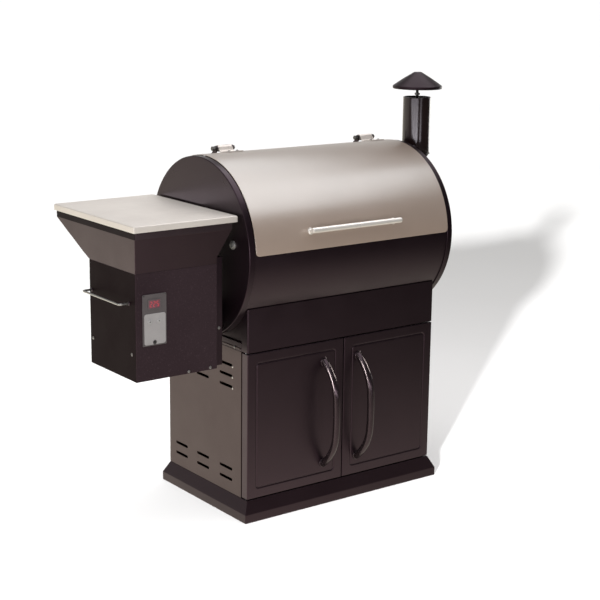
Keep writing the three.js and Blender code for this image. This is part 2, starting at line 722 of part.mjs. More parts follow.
// a funnel under a flared collar, with the hinge's middle knuckle on a tab behind it
function hopperBin() {
  const foot = [-700, -520, -26, 26];
  const mouth = [HOP_X0, HOP_X1, HOP_Y0, HOP_Y1];
  const throat = inset(mouth, 3);
  const flareShare = (COLLAR_Z0 - FLARE_Z0) / (COLLAR_Z0 - BACK_FLARE_Z0);
  const flare = [HOP_X0, HOP_X1, HOP_Y0, COLLAR_Y1 - flareShare * (COLLAR_Y1 - HOP_Y1)];
  const collar = [HOP_X0, COLLAR_X1, HOP_Y0, COLLAR_Y1];
  const outside = stacked([
    [foot, 660],
    [throat, 815],
    [throat, HOP_Z1 + GAP],
    [mouth, HOP_Z1 + GAP],
    [flare, FLARE_Z0],
    [collar, COLLAR_Z0],
    [collar, COLLAR_Z1],
  ]);
  const inside = stacked(
    [
      [foot, 655],
      [foot, 661],
      [throat, 816],
      [throat, HOP_Z1 + 1],
      [flare, FLARE_Z0 + 1],
      [collar, COLLAR_Z0 + 1],
      [collar, COLLAR_Z1 + 5],
    ].map(([rectangle, z]) => [inset(rectangle, SHEET), z]),
  );
  const half = 19;
  const tabX = [HOP_HINGE_X - half, HOP_HINGE_X + half];
  const knuckle = join(
    hingeCylinder(6, -half, half),
    box(...tabX, COLLAR_Y1 - 1, HOP_PIN[0] - 0.5, 938, 943.8),
    box(...tabX, 248.9, 258, 938, 948),
  );
  return cut(join(cut(outside, inside), knuckle), hingeCylinder(3.4, -25, 25));
}
put(hopper, "hopper_bin", hopperBin(), black());

// a pan turned down over the collar, with the two outer knuckles
function hopperLid() {
  const { x0, x1, y0, y1, z0, z1 } = HOP_LID;
  const wall = 2;
  const [pinY, pinZ] = HOP_PIN;
  const knuckle = (from, to) =>
    join(
      hingeCylinder(6, from, to),
      box(HOP_HINGE_X + from, HOP_HINGE_X + to, y1 - 2, pinY, pinZ + 1, pinZ + 6),
    );
  const pan = cut(
    box(x0, x1, y0, y1, z0, z1),
    box(...inset([x0, x1, y0, y1], wall), z0 - 5, z1 - wall),
  );
  return cut(join(pan, knuckle(-65, -20), knuckle(20, 65)), hingeCylinder(3.4, -75, 75));
}
put(hopper, "hopper_lid", hopperLid(), steel());
put(hopper, "hopper_hinge_pin", hingeCylinder(3, -68, 68), zinc());

// two rails under six cross bars, in the hopper's mouth
function hopperGuard() {
  const wire = 4;
  const barsX = [-750.4, -701, -648, -595, -542, -489.1];
  const railEnds = [barsX[0], barsX.at(-1) + wire];
  return join(
    ...[-220.8, 50].map((y) => box(...railEnds, y, y + wire, 836, 840)),
    ...barsX.map((x) => box(x, x + wire, -219.8, 53, 837.5, 841.5)),
  );
}
put(hopper, "hopper_guard", hopperGuard(), zinc());

// a bar handle on the left side with chamfered corners, [x, y]
const HOP_HANDLE_Z = 736;
const HOP_HANDLE_PATH = [
  [HOP_X0 - GAP, -189.5], [-783, -189.5], [-787, -185],
  [-787, 23], [-783, 27.5], [HOP_X0 - GAP, 27.5],
].map(([x, y]) => [x, y, HOP_HANDLE_Z]);
put(hopper, "hopper_handle", mitred(HOP_HANDLE_PATH, 3.6, 0, 10), steel());

// control panel on the front
const BEZEL_X = [-734.3, -655.1];
const BEZEL_Z = [612.7, 763.8];
const bezel = cut(
  box(...BEZEL_X, HOP_Y0 - 3.3, HOP_Y0 - GAP, ...BEZEL_Z),
  ...keyHoles(0.35, HOP_Y0 - 6, HOP_Y0 + 3, 16),
);
put(hopper, "control_bezel", bezel, silver());
for (const { name, x, z, radius, material } of KEYS) {
  put(hopper, name, rod("y", radius, HOP_Y0 - 5.3, HOP_Y0 + 1.5, x, z), material());
}
const board = box(
  BEZEL_X[0] + 3, BEZEL_X[1] - 3, HOP_Y0 + 6, HOP_Y0 + 24, BEZEL_Z[0] + 5, 755,
);
put(hopper, "control_board", board, zinc());

// ---------- feed: screw in its tube, motor at the outer end ----------
const AUGER_X0 = -700;

// the tube is open on top under the bin
const augerTube = cut(
  turned(
    "x",
    [
      [AUGER_TUBE_R - 2.5, AUGER_X0],
      [AUGER_TUBE_R, AUGER_X0],
      [AUGER_TUBE_R, -POT_R + 3],
      [AUGER_TUBE_R - 2.5, -POT_R + 3],
      [AUGER_TUBE_R - 2.5, AUGER_X0],
    ],
    0,
    AUGER_Z,
    20,
  ),
  box(-695, -525, -17, 17, AUGER_Z + 15, AUGER_Z + 40),
);
put(hopper, "auger_tube", augerTube, zinc());

const augerScrew = join(
  flight({ x0: -690, x1: -66, innerR: 6, outerR: 24, thick: 3, pitch: 78, perTurn: 6 }),
  rod("x", 8, AUGER_X0, -62, 0, 0, 8),
).translate(0, 0, AUGER_Z);
put(hopper, "auger_screw", augerScrew, zinc());

const augerMotor = join(
  box(-748, -702, -38, 34, AUGER_Z - 32, AUGER_Z + 32),
  rod("y", 26, -110, -37, -725, AUGER_Z),
);
put(hopper, "auger_motor", augerMotor, charcoal());

// ---------- combustion fan under the feed tube ----------
const FAN_X = -590;
const FAN_Z = 562;
const FAN_R = 46;
const FAN_Y0 = -170;
const FAN_Y1 = -118;
const FAN_OUTLET_Z = [574, 607];

// a drum with a square outlet to the right and a round inlet in front
function fanHousing() {
  const [z0, z1] = FAN_OUTLET_Z;
  const hollowY = [FAN_Y0 + SHEET, FAN_Y1 - SHEET];
  return cut(
    join(
      rod("y", FAN_R, FAN_Y0, FAN_Y1, FAN_X, FAN_Z, 24),
      box(FAN_X, -500, FAN_Y0, FAN_Y1, z0, z1),
    ),
    rod("y", FAN_R - SHEET, ...hollowY, FAN_X, FAN_Z, 24),
    box(FAN_X, -495, ...hollowY, z0 + SHEET, z1 - SHEET),
    rod("y", 24, FAN_Y0 - 5, FAN_Y0 + 5, FAN_X, FAN_Z),
  );
}
put(hopper, "fan_housing", fanHousing(), rubber());

const impeller = join(
  rod("y", 9, FAN_Y0 + 4, FAN_Y1 - 4, 0, 0, 12),
  ...Array.from({ length: 8 }, (_, i) =>
    box(7, 38, FAN_Y0 + 5, FAN_Y1 - 5, -1, 1).rotateY((i * Math.PI) / 4),
  ),
).translate(FAN_X, 0, FAN_Z);
put(hopper, "fan_impeller", impeller, zinc());

// ---------- drain and pail ----------
// a tube with a funnel mouth, [radius, z]
const DRAIN_PROFILE = [
  [13.5, 250], [15.5, 250], [15.5, 745], [26, 757],
  [26, 760], [24, 760], [13.5, 747], [13.5, 250],
];
put(smoker, "drain_tube", turned("z", DRAIN_PROFILE, DRAIN_X, 0, 20), zinc());

// a tapered pail with a rim, [radius, z]
const PAIL_Z0 = CAB_Z0 + SHEET + GAP;
const PAIL_PROFILE = [
  [0, PAIL_Z0], [62, PAIL_Z0], [74, 232], [77, 232],
  [77, 236], [72, 236], [60, PAIL_Z0 + 2], [0, PAIL_Z0 + 2],
];
put(smoker, "grease_pail", turned("z", PAIL_PROFILE, DRAIN_X - 35, 0), zinc());

export default smoker;
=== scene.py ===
"""A barrel grill with a hopper, on a two-door cabinet, standing on a studio floor.

The barrel lies along x. The doors and the lid's handle face -y (front), the hopper is at
the -x end (left) and the chimney at the +x end. The floor is just under z = 0.
"""
from math import cos, dist, pi, radians, sin, sqrt, tan

import bmesh
import bpy
from mathutils import Matrix, Vector
from mathutils.geometry import tessellate_polygon


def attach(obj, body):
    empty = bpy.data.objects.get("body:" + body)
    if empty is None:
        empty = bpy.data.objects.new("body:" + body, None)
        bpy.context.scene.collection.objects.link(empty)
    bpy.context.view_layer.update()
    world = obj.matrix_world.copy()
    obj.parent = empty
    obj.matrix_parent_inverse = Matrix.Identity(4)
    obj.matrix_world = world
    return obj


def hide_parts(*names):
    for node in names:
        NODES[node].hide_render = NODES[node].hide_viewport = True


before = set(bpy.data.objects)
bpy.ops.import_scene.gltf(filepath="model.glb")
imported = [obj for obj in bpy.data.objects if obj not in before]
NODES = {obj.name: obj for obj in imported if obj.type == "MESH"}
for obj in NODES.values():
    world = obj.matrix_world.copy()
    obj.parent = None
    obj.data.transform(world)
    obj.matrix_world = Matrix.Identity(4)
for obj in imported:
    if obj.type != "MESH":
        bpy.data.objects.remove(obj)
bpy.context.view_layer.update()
SCENE = bpy.context.scene

# ---------------------------------------------------------------- sizes and places, millimetres
MM = 0.001  # metres in a millimetre
SHEET = 2.5  # thickness of the sheet steel

# barrel; angles round it run from 0 at the front, over 90 at the top, to 180 at the back
AXIS_Z = 833.0
SHELL_R = 274.5
CAP_R, CAP_X, CAP_RIM = 277.6, 399.5, 21.0  # radius, outer face, depth of the rim
GRATE_Z = 826.0

# lid: outer radius, thickness, half length, lower and upper edge in degrees
LID_R, LID_T, LID_HALF = 280.2, 2.0, 377.5
LID_A0, LID_A1 = 2.2, 108.0
PIVOT_A, PIVOT_R = 107.0, 297.0
KNUCKLE_R = 10.0
HINGE_X = {"left": -248.0, "right": 321.0}
HANDLE_A, HANDLE_R, HANDLE_X0, HANDLE_X1 = 13.75, 306.0, -186.0, 162.0

# chimney
CHIM_X, CHIM_R, CHIM_Z1, ELBOW_Z1 = 474.0, 46.3, 1252.0, 1110.0
FLUE_Z = 1035.0  # the elbow's level leg
VENT_R = 82.8

# cabinet: CAB_X is its half width
CAB_X, BODY_Y, BACK_Y, CAB_Z0, CAB_Z1 = 370.0, -191.5, 225.0, 65.6, 535.7
DOOR_Y, DOOR_DEPTH, DOOR_Z0, DOOR_Z1 = -226.0, 30.0, 68.0, 533.0
FASCIA_Z0, FASCIA_Z1 = 536.5, 672.0
SLOT_Y, SLOT_Z = (-108.0, 24.5, 151.5), (411.7, 446.6, 480.5, 109.5, 144.0)
SLOT_L, SLOT_H = 70.0, 9.0
PLINTH_OUT = 19.0  # how far the plinth stands out beyond the doors

# hopper
HX0, HX1, HY0, HY1, HZ0, HZ1 = -755.5, -480.0, -226.0, 42.3, 509.0, 826.0
COLLAR_X1, COLLAR_Y1, COLLAR_Z0, COLLAR_Z1, FLARE_Z0 = -427.4, 242.5, 923.3, 944.0, 845.5
COVER_BOX, COVER_Z0, COVER_Z1 = (-762.0, -410.7, -233.3, 248.1), 944.4, 963.1
COVER_PIN = (0, 255.0, 950.0)

# control panel, on the hopper's front
BEZEL = (-734.3, -655.1, 612.7, 763.8)  # x0, x1, z0, z1
FACE_Y = HY0 - 3.3
# x, z, radius, body it rides, arrow's direction (0: none)
KEYS = {
    "power_button": (-695.2, 622.5, 4.2, "power_key", 0),
    "key_up": (-711.0, 684.0, 6.0, "up_key", 1),
    "key_down": (-681.0, 684.0, 6.0, "down_key", -1),
}

PAIL_X = 315.0 - 35  # 35 to the left of the drain


# ---------------------------------------------------------------- outlines
def rrect(x0, x1, y0, y1, r, seg):
    """an anticlockwise rectangle with rounded corners"""
    corners = ((x1 - r, y0 + r, -90), (x1 - r, y1 - r, 0), (x0 + r, y1 - r, 90),
               (x0 + r, y0 + r, 180))
    out = []
    for x, y, start in corners:
        for k in range(seg + 1):
            a = radians(start + 90 * k / seg)
            out.append((x + r * cos(a), y + r * sin(a)))
    return out


def inset(box, e, r, seg):
    """the rounded outline of box (x0, x1, y0, y1), drawn in by e"""
    x0, x1, y0, y1 = box
    return rrect(x0 + e, x1 - e, y0 + e, y1 - e, r, seg)


def level(box, e, z, r, seg):
    return [(x, y, z) for x, y in inset(box, e, r, seg)]


def hole(x, y, r, n):
    """a clockwise circle"""
    return [(x + r * cos(2 * pi * i / n), y + r * sin(2 * pi * i / n)) for i in range(n)][::-1]


def mean_normal(before, after):
    """the sum of the left-hand normals of two directions, and the first of them"""
    first = Vector((-before.y, before.x))
    return first + Vector((-after.y, after.x)), first


def offset(loop, d):
    """moves each point of a loop d to its left"""
    if not d:
        return list(loop)
    out = []
    for i in range(len(loop)):
        a, b, c = Vector(loop[i - 1]), Vector(loop[i]), Vector(loop[(i + 1) % len(loop)])
        before, after = b - a, c - b
        if before.length < 1e-9 or after.length < 1e-9:
            before = after = c - a
        mean, first = mean_normal(before.normalized(), after.normalized())
        mean = mean / max(mean.length, 1e-9)
        step = d / max(0.35, mean.dot(first))
        out.append((b.x + mean.x * step, b.y + mean.y * step))
    return out


def fillet(points, r, seg):
    """a polyline with its corners rounded"""
    points = [Vector(p) for p in points]
    out = [tuple(points[0])]
    for before, corner, after in zip(points, points[1:], points[2:]):
        a, b = before - corner, after - corner
        room = a.length * 0.48, b.length * 0.48
        a, b = a.normalized(), b.normalized()
        half = a.angle(b) / 2
        if half * 2 > pi - 0.02:
            out.append(tuple(corner))
            continue
        cut = min(r / tan(half), *room)
        centre = corner + (a + b).normalized() * (cut * tan(half) / sin(half))
        start, end = corner + a * cut - centre, corner + b * cut - centre
        total = start.angle(end)
        for k in range(seg + 1):
            q = k / seg
            arm = (start * sin((1 - q) * total) + end * sin(q * total)) / sin(total)
            out.append(tuple(centre + arm))
    out.append(tuple(points[-1]))
    return out


def thick(line, t):
    """a bent sheet's section: a 2-D line given thickness t to its left"""
    shifted = []
    last = len(line) - 1
    for i, p in enumerate(line):
        a, b, c = Vector(line[max(i - 1, 0)]), Vector(p), Vector(line[min(i + 1, last)])
        before = (b - a).normalized() if i else (c - b).normalized()
        after = (c - b).normalized() if i < last else before
        mean, first = mean_normal(before, after)
        mean.normalize()
        step = t / max(0.4, mean.dot(first))
        shifted.append((b.x + mean.x * step, b.y + mean.y * step))
    return list(line) + shifted[::-1]


def pipe_wall(r_out, r_in, a, b, e):
    """a pipe's section from a to b, its ends eased by e"""
    return [(r_in, a + e), (r_in + e, a), (r_out - e, a), (r_out, a + e),
            (r_out, b - e), (r_out - e, b), (r_in + e, b), (r_in, b - e)]


def angles(a0, a1, step):
    n = max(2, round((a1 - a0) / step))
    return [a0 + (a1 - a0) * i / n for i in range(n + 1)]


def on_barrel(a, r):
    """y, z at an angle and a radius from the barrel's axis"""
    return (-r * cos(radians(a)), AXIS_Z + r * sin(radians(a)))


def across_barrel(a, section):
    """a ring at one angle from a section of (x, radius)"""
    return [(x, *on_barrel(a, r)) for x, r in section]


def on_side(sign, a, b):
    """the bounds a and b on one side of the middle, in rising order"""
    return sorted((sign * a, sign * b))


# ---------------------------------------------------------------- mesh building
def strips(rings, n, around=True, closed=False):
    """quads between rings of n points"""
    faces = []
    for k in range(rings if closed else rings - 1):
        a, b = k * n, ((k + 1) % rings) * n
        for i in range(n if around else n - 1):
            j = (i + 1) % n
            faces.append([a + i, a + j, b + j, b + i])
    return faces


class Shape:
    """A mesh being built, in millimetres; mat is the number of a face's material slot."""

    def __init__(self):
        self.points, self.faces, self.mats = [], [], []

    def add(self, points, faces, mat=0):
        start = len(self.points)
        self.points += [tuple(p) for p in points]
        self.faces += [[i + start for i in face] for face in faces]
        self.mats += [mat] * len(faces)

    def loft(self, rings, mat=0, start=True, end=True, closed=False):
        """a skin over rings; start and end cap it, closed joins the last ring to the first"""
        n = len(rings[0])
        faces = strips(len(rings), n, closed=closed)
        if start and not closed:
            faces.append(list(range(n))[::-1])
        if end and not closed:
            faces.append([(len(rings) - 1) * n + i for i in range(n)])
        self.add([p for ring in rings for p in ring], faces, mat)

    def lathe(self, axis, profile, centre, n, mat=0, closed=True):
        """profile of (radius, height) about axis; a closed profile makes a ring"""
        cx, cy, cz = centre
        points = []
        for i in range(n):
            t = 2 * pi * i / n
            for r, h in profile:
                a, b = r * cos(t), r * sin(t)
                x, y, z = {"x": (h, a, b), "y": (a, h, b), "z": (a, b, h)}[axis]
                points.append((x + cx, y + cy, z + cz))
        self.add(points, strips(n, len(profile), around=closed, closed=True), mat)

    def tube(self, path, radius, n, mat=0, dome=0.0):
        """a round rod along a path; dome rounds its ends"""
        path = [Vector(p) for p in path]
        last = len(path) - 1
        along = [(path[min(i + 1, last)] - path[max(i - 1, 0)]).normalized()
                 for i in range(last + 1)]
        up = Vector((0, 0, 1)) if abs(along[0].z) < 0.9 else Vector((0, 1, 0))
        up = (up - along[0] * up.dot(along[0])).normalized()
        stations = []
        for p, t in zip(path, along):
            up = (up - t * up.dot(t)).normalized()
            stations.append((p, t, up, radius))

        def rounded(station, sign):
            p, t, u, r = station
            arc = [(p + t * (sign * dome * (1 - cos(a))), t, u, r - dome + dome * sin(a))
                   for a in (0.0, 0.5, 1.0)]
            return arc + [(p + t * (sign * dome), t, u, r)]

        if dome:
            ends = rounded(stations[0], 1), rounded(stations[-1], -1)[::-1]
            stations = ends[0] + stations[1:-1] + ends[1]
        rings = []
        for p, t, u, r in stations:
            w = t.cross(u)
            turns = [2 * pi * k / n for k in range(n)]
            rings.append([tuple(p + u * (r * cos(a)) + w * (r * sin(a))) for a in turns])
        self.loft(rings, mat)

    def rbox(self, x0, x1, y0, y1, z0, z1, r, seg, mat=0):
        """a box with every edge rounded, as stacked rounded outlines"""
        arc = [pi / 2 * k / seg for k in range(seg + 1)]
        rows = [(z0 + r - r * cos(a), r - r * sin(a)) for a in arc]
        rows += [(z1 - (z - z0), e) for z, e in reversed(rows)]
        box = (x0, x1, y0, y1)
        self.loft([level(box, e, z, max(r - e, 0.02), seg) for z, e in rows], mat)

    def plate(self, outer, holes, at, w0, w1, e, mat=0):
        """a flat plate from w0 to w1 with eased edges; outer runs anticlockwise and holes
        clockwise; at(u, v, w) places it"""
        loops = [outer, *holes]
        ease = [(e, 0.0), (0.3 * e, 0.3 * e), (0.0, e)]
        rows = [(off, w1 - back) for off, back in ease]
        rows += [(off, w0 + back) for off, back in reversed(ease)]
        for loop in loops:
            points = [at(u, v, w) for off, w in rows for u, v in offset(loop, off)]
            self.add(points, strips(len(rows), len(loop)), mat)
        flat = [offset(loop, e) for loop in loops]
        points = [p for loop in flat for p in loop]
        tris = tessellate_polygon([[Vector((u, v, 0)) for u, v in loop] for loop in flat])
        self.add([at(u, v, w1) for u, v in points], [list(f) for f in tris], mat)
        self.add([at(u, v, w0) for u, v in points], [list(f)[::-1] for f in tris], mat)

    def stud(self, x, angle, profile, n=28, mat=0):
        """a turned piece standing out of the barrel; profile of (radius, distance from axis)"""
        out = Vector((0, -cos(radians(angle)), sin(radians(angle))))
        u = Vector((1, 0, 0))
        w = out.cross(u)
        base = Vector((x, 0, AXIS_Z))
        turns = [2 * pi * k / n for k in range(n)]
        self.loft([[tuple(base + out * h + u * (r * cos(a)) + w * (r * sin(a))) for a in turns]
                   for r, h in profile], mat)

    def screw(self, at, facing, r, h, mat=1, n=16):
        """a low domed head with a socket, on a washer; facing is like "-x" """
        sign = -1 if facing[0] == "-" else 1
        profile = [(0.0, 0.0), (r * 1.35, 0.0), (r * 1.35, 0.5), (r * 1.02, 0.7), (r, 0.8),
                   (r * 0.92, h * 0.75), (r * 0.62, h), (r * 0.42, h), (r * 0.36, h * 0.55),
                   (0.0, h * 0.5)]
        self.lathe(facing[1], [(p, sign * q) for p, q in profile], at, n, mat, closed=False)

    def hexagon(self, axis, at, across, h, mat=0):
        """a bolt's head or a nut, with chamfered corners"""
        r = across / sqrt(3)
        cut = 0.12 * across * 0.5
        profile = [(0, 0), (r * 0.9, 0), (r, cut), (r, h - cut), (r * 0.9, h), (0, h)]
        self.lathe(axis, profile, at, 6, mat, closed=False)


# ---------------------------------------------------------------- shader building
class Graph:
    """Short ways to add nodes to the node tree of a material or a world."""

    def __init__(self, owner):
        owner.use_nodes = True
        self.tree = owner.node_tree
        self.tree.nodes.clear()

    def feed(self, node, inputs):
        """gives each input a link, a number or a colour"""
        for key, value in inputs.items():
            socket = node.inputs[key]
            if isinstance(value, bpy.types.NodeSocket):
                self.tree.links.new(value, socket)
            elif socket.type == "RGBA" and len(value) == 3:
                socket.default_value = (*value, 1)
            else:
                socket.default_value = value

    def node(self, kind, inputs=None, **settings):
        node = self.tree.nodes.new("ShaderNode" + kind)
        for key, value in settings.items():
            setattr(node, key, value)
        self.feed(node, inputs or {})
        return node

    def coords(self, space="Object"):
        return self.node("TexCoord").outputs[space]

    def mapped(self, stretch=(1, 1, 1)):
        inputs = {"Vector": self.coords(), "Scale": stretch}
        return self.node("Mapping", inputs).outputs["Vector"]

    def xyz(self, space):
        return self.node("SeparateXYZ", {0: self.coords(space)}).outputs

    def noise(self, scale, detail=2.0, rough=0.5, stretch=(1, 1, 1)):
        inputs = {"Vector": self.mapped(stretch), "Scale": scale, "Detail": detail,
                  "Roughness": rough}
        return self.node("TexNoise", inputs).outputs["Fac"]

    def voronoi(self, scale):
        inputs = {"Vector": self.mapped(), "Scale": scale, "Randomness": 1.0}
        return self.node("TexVoronoi", inputs).outputs["Color"]

    def ramp(self, factor, stops):
        """stops of (position, colour)"""
        node = self.node("ValToRGB", {"Fac": factor})
        elements = node.color_ramp.elements
        while len(elements) < len(stops):
            elements.new(0.5)
        for element, (position, colour) in zip(elements, stops):
            element.position = position
            element.color = (*colour, 1)
        return node.outputs["Color"]

    def span(self, value, source, target):
        """maps the range source to the range target"""
        inputs = {"Value": value, "From Min": source[0], "From Max": source[1],
                  "To Min": target[0], "To Max": target[1]}
        return self.node("MapRange", inputs).outputs["Result"]

    def mix(self, factor, a, b, mode="MIX"):
        inputs = {0: factor, 6: a, 7: b}  # 6 and 7 are the colour inputs
        return self.node("Mix", inputs, data_type="RGBA", blend_type=mode).outputs[2]

    def math(self, operation, a, b=0.0, clamp=False):
        inputs = {0: a, 1: b, 2: 0.0}
        return self.node("Math", inputs, operation=operation, use_clamp=clamp).outputs[0]

    def dot(self, a, b):
        return self.node("VectorMath", {0: a, 1: b}, operation="DOT_PRODUCT").outputs["Value"]

    def bump(self, height, distance, over=None):
        """a bump, laid over another one if given"""
        inputs = {"Distance": distance, "Strength": 1.0, "Height": height}
        if over is not None:
            inputs["Normal"] = over
        return self.node("Bump", inputs).outputs[0]

    def patchy(self, noise, rough, vary=1.0):
        """roughness that drifts with a noise"""
        return self.span(noise, (0.3, 0.7), (rough - 0.04 * vary, rough + 0.05 * vary))

    def wear(self, amount):
        """amount along outside edges, broken up by noise"""
        rounded = self.node("Bevel", {"Radius": 0.0012}, samples=4).outputs[0]
        agreement = self.dot(rounded, self.node("NewGeometry").outputs["Normal"])
        edge = self.span(agreement, (1.0 - 0.05, 1.0 - 0.35), (0.0, 1.0))
        broken = self.span(self.noise(120, detail=4, rough=0.6), (0.42, 0.62), (0.0, 1.0))
        return self.math("MULTIPLY", self.math("MULTIPLY", edge, broken, clamp=True), amount)


def principled(name):
    material = bpy.data.materials.new(name)
    g = Graph(material)
    out = g.node("OutputMaterial")
    bsdf = g.node("BsdfPrincipled")
    g.feed(out, {0: bsdf.outputs[0]})
    return material, g, bsdf


def scaled(colour, factor, add=0.0):
    return tuple(min(1, c * factor + add) for c in colour)


def inside_barrel(g):
    """1 inside the barrel's skin and caps, 0 outside; ranges in metres"""
    x, y, z = g.xyz("Object")
    dz = g.math("SUBTRACT", z, AXIS_Z * MM)
    square = g.math("ADD", g.math("MULTIPLY", y, y), g.math("MULTIPLY", dz, dz))
    within = g.span(g.math("SQRT", square), (0.2728, 0.2736), (1.0, 0.0))
    between = g.span(g.math("ABSOLUTE", x), (0.3955, 0.3985), (1.0, 0.0))
    return g.math("MULTIPLY", within, between, clamp=True)


def paint(name, dark, light, rough, peel=0.00006, grain=0.00004, grain_scale=1500,
          specular=0.5, coat=0.0, soot=False, edge=0.25, tint=(1.0, 0.68, 0.84), speck=0.22):
    """powder coat: tone drifts slowly, fine grain, faint orange peel, edges a touch lighter"""
    material, g, bsdf = principled(name)
    colour = g.ramp(g.noise(3.5, detail=3, rough=0.55), [(0.35, dark), (0.65, light)])
    dots = g.span(g.noise(grain_scale * 0.8, detail=1), (0.62, 0.75), (0.0, speck))
    colour = g.mix(dots, colour, scaled(light, 2.2))
    roughness = g.patchy(g.noise(9, detail=4, rough=0.6), rough)
    colour = g.mix(g.wear(edge), colour, scaled(light, 3.2, add=0.03))
    if soot:
        inner = inside_barrel(g)
        stain = g.ramp(g.noise(14, detail=5, rough=0.6),
                       [(0.3, (0.008, 0.006, 0.005)), (0.7, (0.030, 0.020, 0.013))])
        colour = g.mix(inner, colour, stain)
        roughness = g.math("ADD", roughness, g.math("MULTIPLY", inner, 0.3))
    orange_peel = g.bump(g.noise(190), peel)
    fine = g.bump(g.noise(grain_scale, rough=0.6), grain, over=orange_peel)
    g.feed(bsdf, {"Base Color": colour, "Roughness": roughness, "Normal": fine,
                  "Specular IOR Level": specular, "Specular Tint": tint,
                  "Coat Weight": coat, "Coat Roughness": 0.12})
    return material


def metal(name, dark, light, rough, brush=None, metallic=1.0, grain=0.00003, spots=0.0,
          flake=0.0, edge=0.0, ior=1.5, vary=1.0):
    """metal: brushed along an axis, dulled in patches, or spangled"""
    material, g, bsdf = principled(name)
    colour = g.ramp(g.noise(5, detail=4, rough=0.6), [(0.3, dark), (0.7, light)])
    if spots:
        patches = g.ramp(g.voronoi(55.0), [(0.1, dark), (0.9, light)])
        colour = g.mix(spots, colour, patches)
    if flake:
        flakes = g.span(g.voronoi(1600.0), (0.35, 0.9), (0.0, flake))
        colour = g.mix(flakes, colour, scaled(light, 1.45))
    if edge:
        colour = g.mix(g.wear(edge), colour, (0.85, 0.83, 0.8))
    roughness = g.patchy(g.noise(11, detail=4, rough=0.6), rough, vary)
    normal = g.bump(g.noise(240, detail=3), grain)
    if brush:
        # noise drawn out along the brushed axis
        stretch = tuple(0.012 if axis == brush else 1 for axis in "xyz")
        lines = g.noise(900, detail=3, rough=0.65, stretch=stretch)
        roughness = g.math("ADD", roughness, g.span(lines, (0.3, 0.7), (-0.05, 0.06)))
        depth = g.span(lines, (0.35, 0.65), (0.0, 0.18))
        colour = g.mix(depth, colour, scaled(dark, 0.72))
        normal = g.bump(lines, 0.00002, over=normal)
    g.feed(bsdf, {"Base Color": colour, "Roughness": roughness, "Normal": normal,
                  "Metallic": metallic, "IOR": ior})
    return material


def plastic(name, dark, light, rough, grain=0.00003):
    material, g, bsdf = principled(name)
    g.feed(bsdf, {
        "Base Color": g.ramp(g.noise(20, detail=3), [(0.3, dark), (0.7, light)]),
        "Roughness": g.patchy(g.noise(30, detail=4), rough),
        "Specular IOR Level": 0.5,
        "Normal": g.bump(g.noise(1100), grain),
    })
    return material


def glow(name, colour, strength):
    material, g, bsdf = principled(name)
    lit = g.ramp(g.noise(300), [(0.3, scaled(colour, 0.85)), (0.7, colour)])
    g.feed(bsdf, {"Base Color": lit, "Emission Color": lit, "Emission Strength": strength,
                  "Roughness": 0.2})
    return material


# ---------------------------------------------------------------- materials: dark, light tone
SATIN = (0.005, 0.0024, 0.0038), (0.0066, 0.0034, 0.005)
BLACK = paint("satin_black", *SATIN, rough=0.34)
BARREL = paint("barrel_black", *SATIN, rough=0.32, soot=True)
CAP = paint("cap_black", *SATIN, rough=0.31, soot=True, specular=0.38)
PLINTH = paint("plinth_black", (0.0105, 0.0058, 0.0072), (0.0125, 0.007, 0.0088),
               rough=0.36, specular=0.26)
SIDE = paint("side_black", (0.009, 0.005, 0.0042), (0.0112, 0.0064, 0.0054),
             rough=0.36, tint=(1.0, 0.66, 0.73))
GLOSS = paint("gloss_black", (0.0105, 0.0052, 0.005), (0.013, 0.0068, 0.0066), rough=0.20,
              peel=0.00003, grain=0.00001, coat=0.3, edge=0.1, tint=(0.96, 0.90, 1.0))
PULL = paint("pull_black", (0.009, 0.006, 0.007), (0.0115, 0.008, 0.009), rough=0.21,
             peel=0.00003, grain=0.00001, edge=0.1, tint=(1.0, 0.73, 0.85))
TEXTURED = paint("charcoal_texture", (0.0222, 0.0142, 0.0172), (0.0282, 0.0184, 0.022),
                 rough=0.62, peel=0.00010, grain=0.0005, grain_scale=330, edge=0.2,
                 specular=0.12, speck=0.5)
BIN = paint("bin_black", (0.013, 0.0082, 0.0088), (0.0165, 0.0106, 0.0112),
            rough=0.36, tint=(1.0, 0.66, 0.76))
LID = metal("champagne_satin", (0.345, 0.256, 0.204), (0.385, 0.289, 0.233), rough=0.335,
            metallic=0.0, grain=0.00002, flake=0.10, ior=2.5, vary=0.3)
LEAF = metal("hinge_satin", (0.60, 0.55, 0.51), (0.68, 0.63, 0.59), rough=0.42,
             metallic=0.35, grain=0.00002)
BRUSHED = (0.68, 0.665, 0.64), (0.78, 0.765, 0.74)
STEEL = metal("brushed_steel_x", *BRUSHED, rough=0.30, brush="x")
BAR = metal("bar_steel", (0.76, 0.725, 0.68), (0.88, 0.845, 0.80), rough=0.31, brush="x",
            metallic=0.45)
metal("brushed_steel_y", *BRUSHED, rough=0.30, brush="y")  # spare finish
GLAND = metal("gland_nickel", (0.40, 0.39, 0.38), (0.52, 0.51, 0.50), rough=0.36,
              metallic=0.8)
# darker copy of the hopper case's finish for its left face: painted shade
HOPPER_LEFT_SHADE = paint("hopper_left_painted_shade", (0.0062, 0.0028, 0.0036), (0.0078, 0.0038, 0.0046),
             rough=0.5, specular=0.03)
HOOD = paint("hood_black", (0.005, 0.0026, 0.0036), (0.0064, 0.0036, 0.0048),
             rough=0.40, specular=0.23)
# lighter copy of the bin's finish for the collar's front faces: painted light
COLLAR_FRONT_LIGHT = paint("collar_front_painted_light", (0.017, 0.0112, 0.0125), (0.0215, 0.0142, 0.0155),
            rough=0.32, tint=(1.0, 0.76, 0.88))
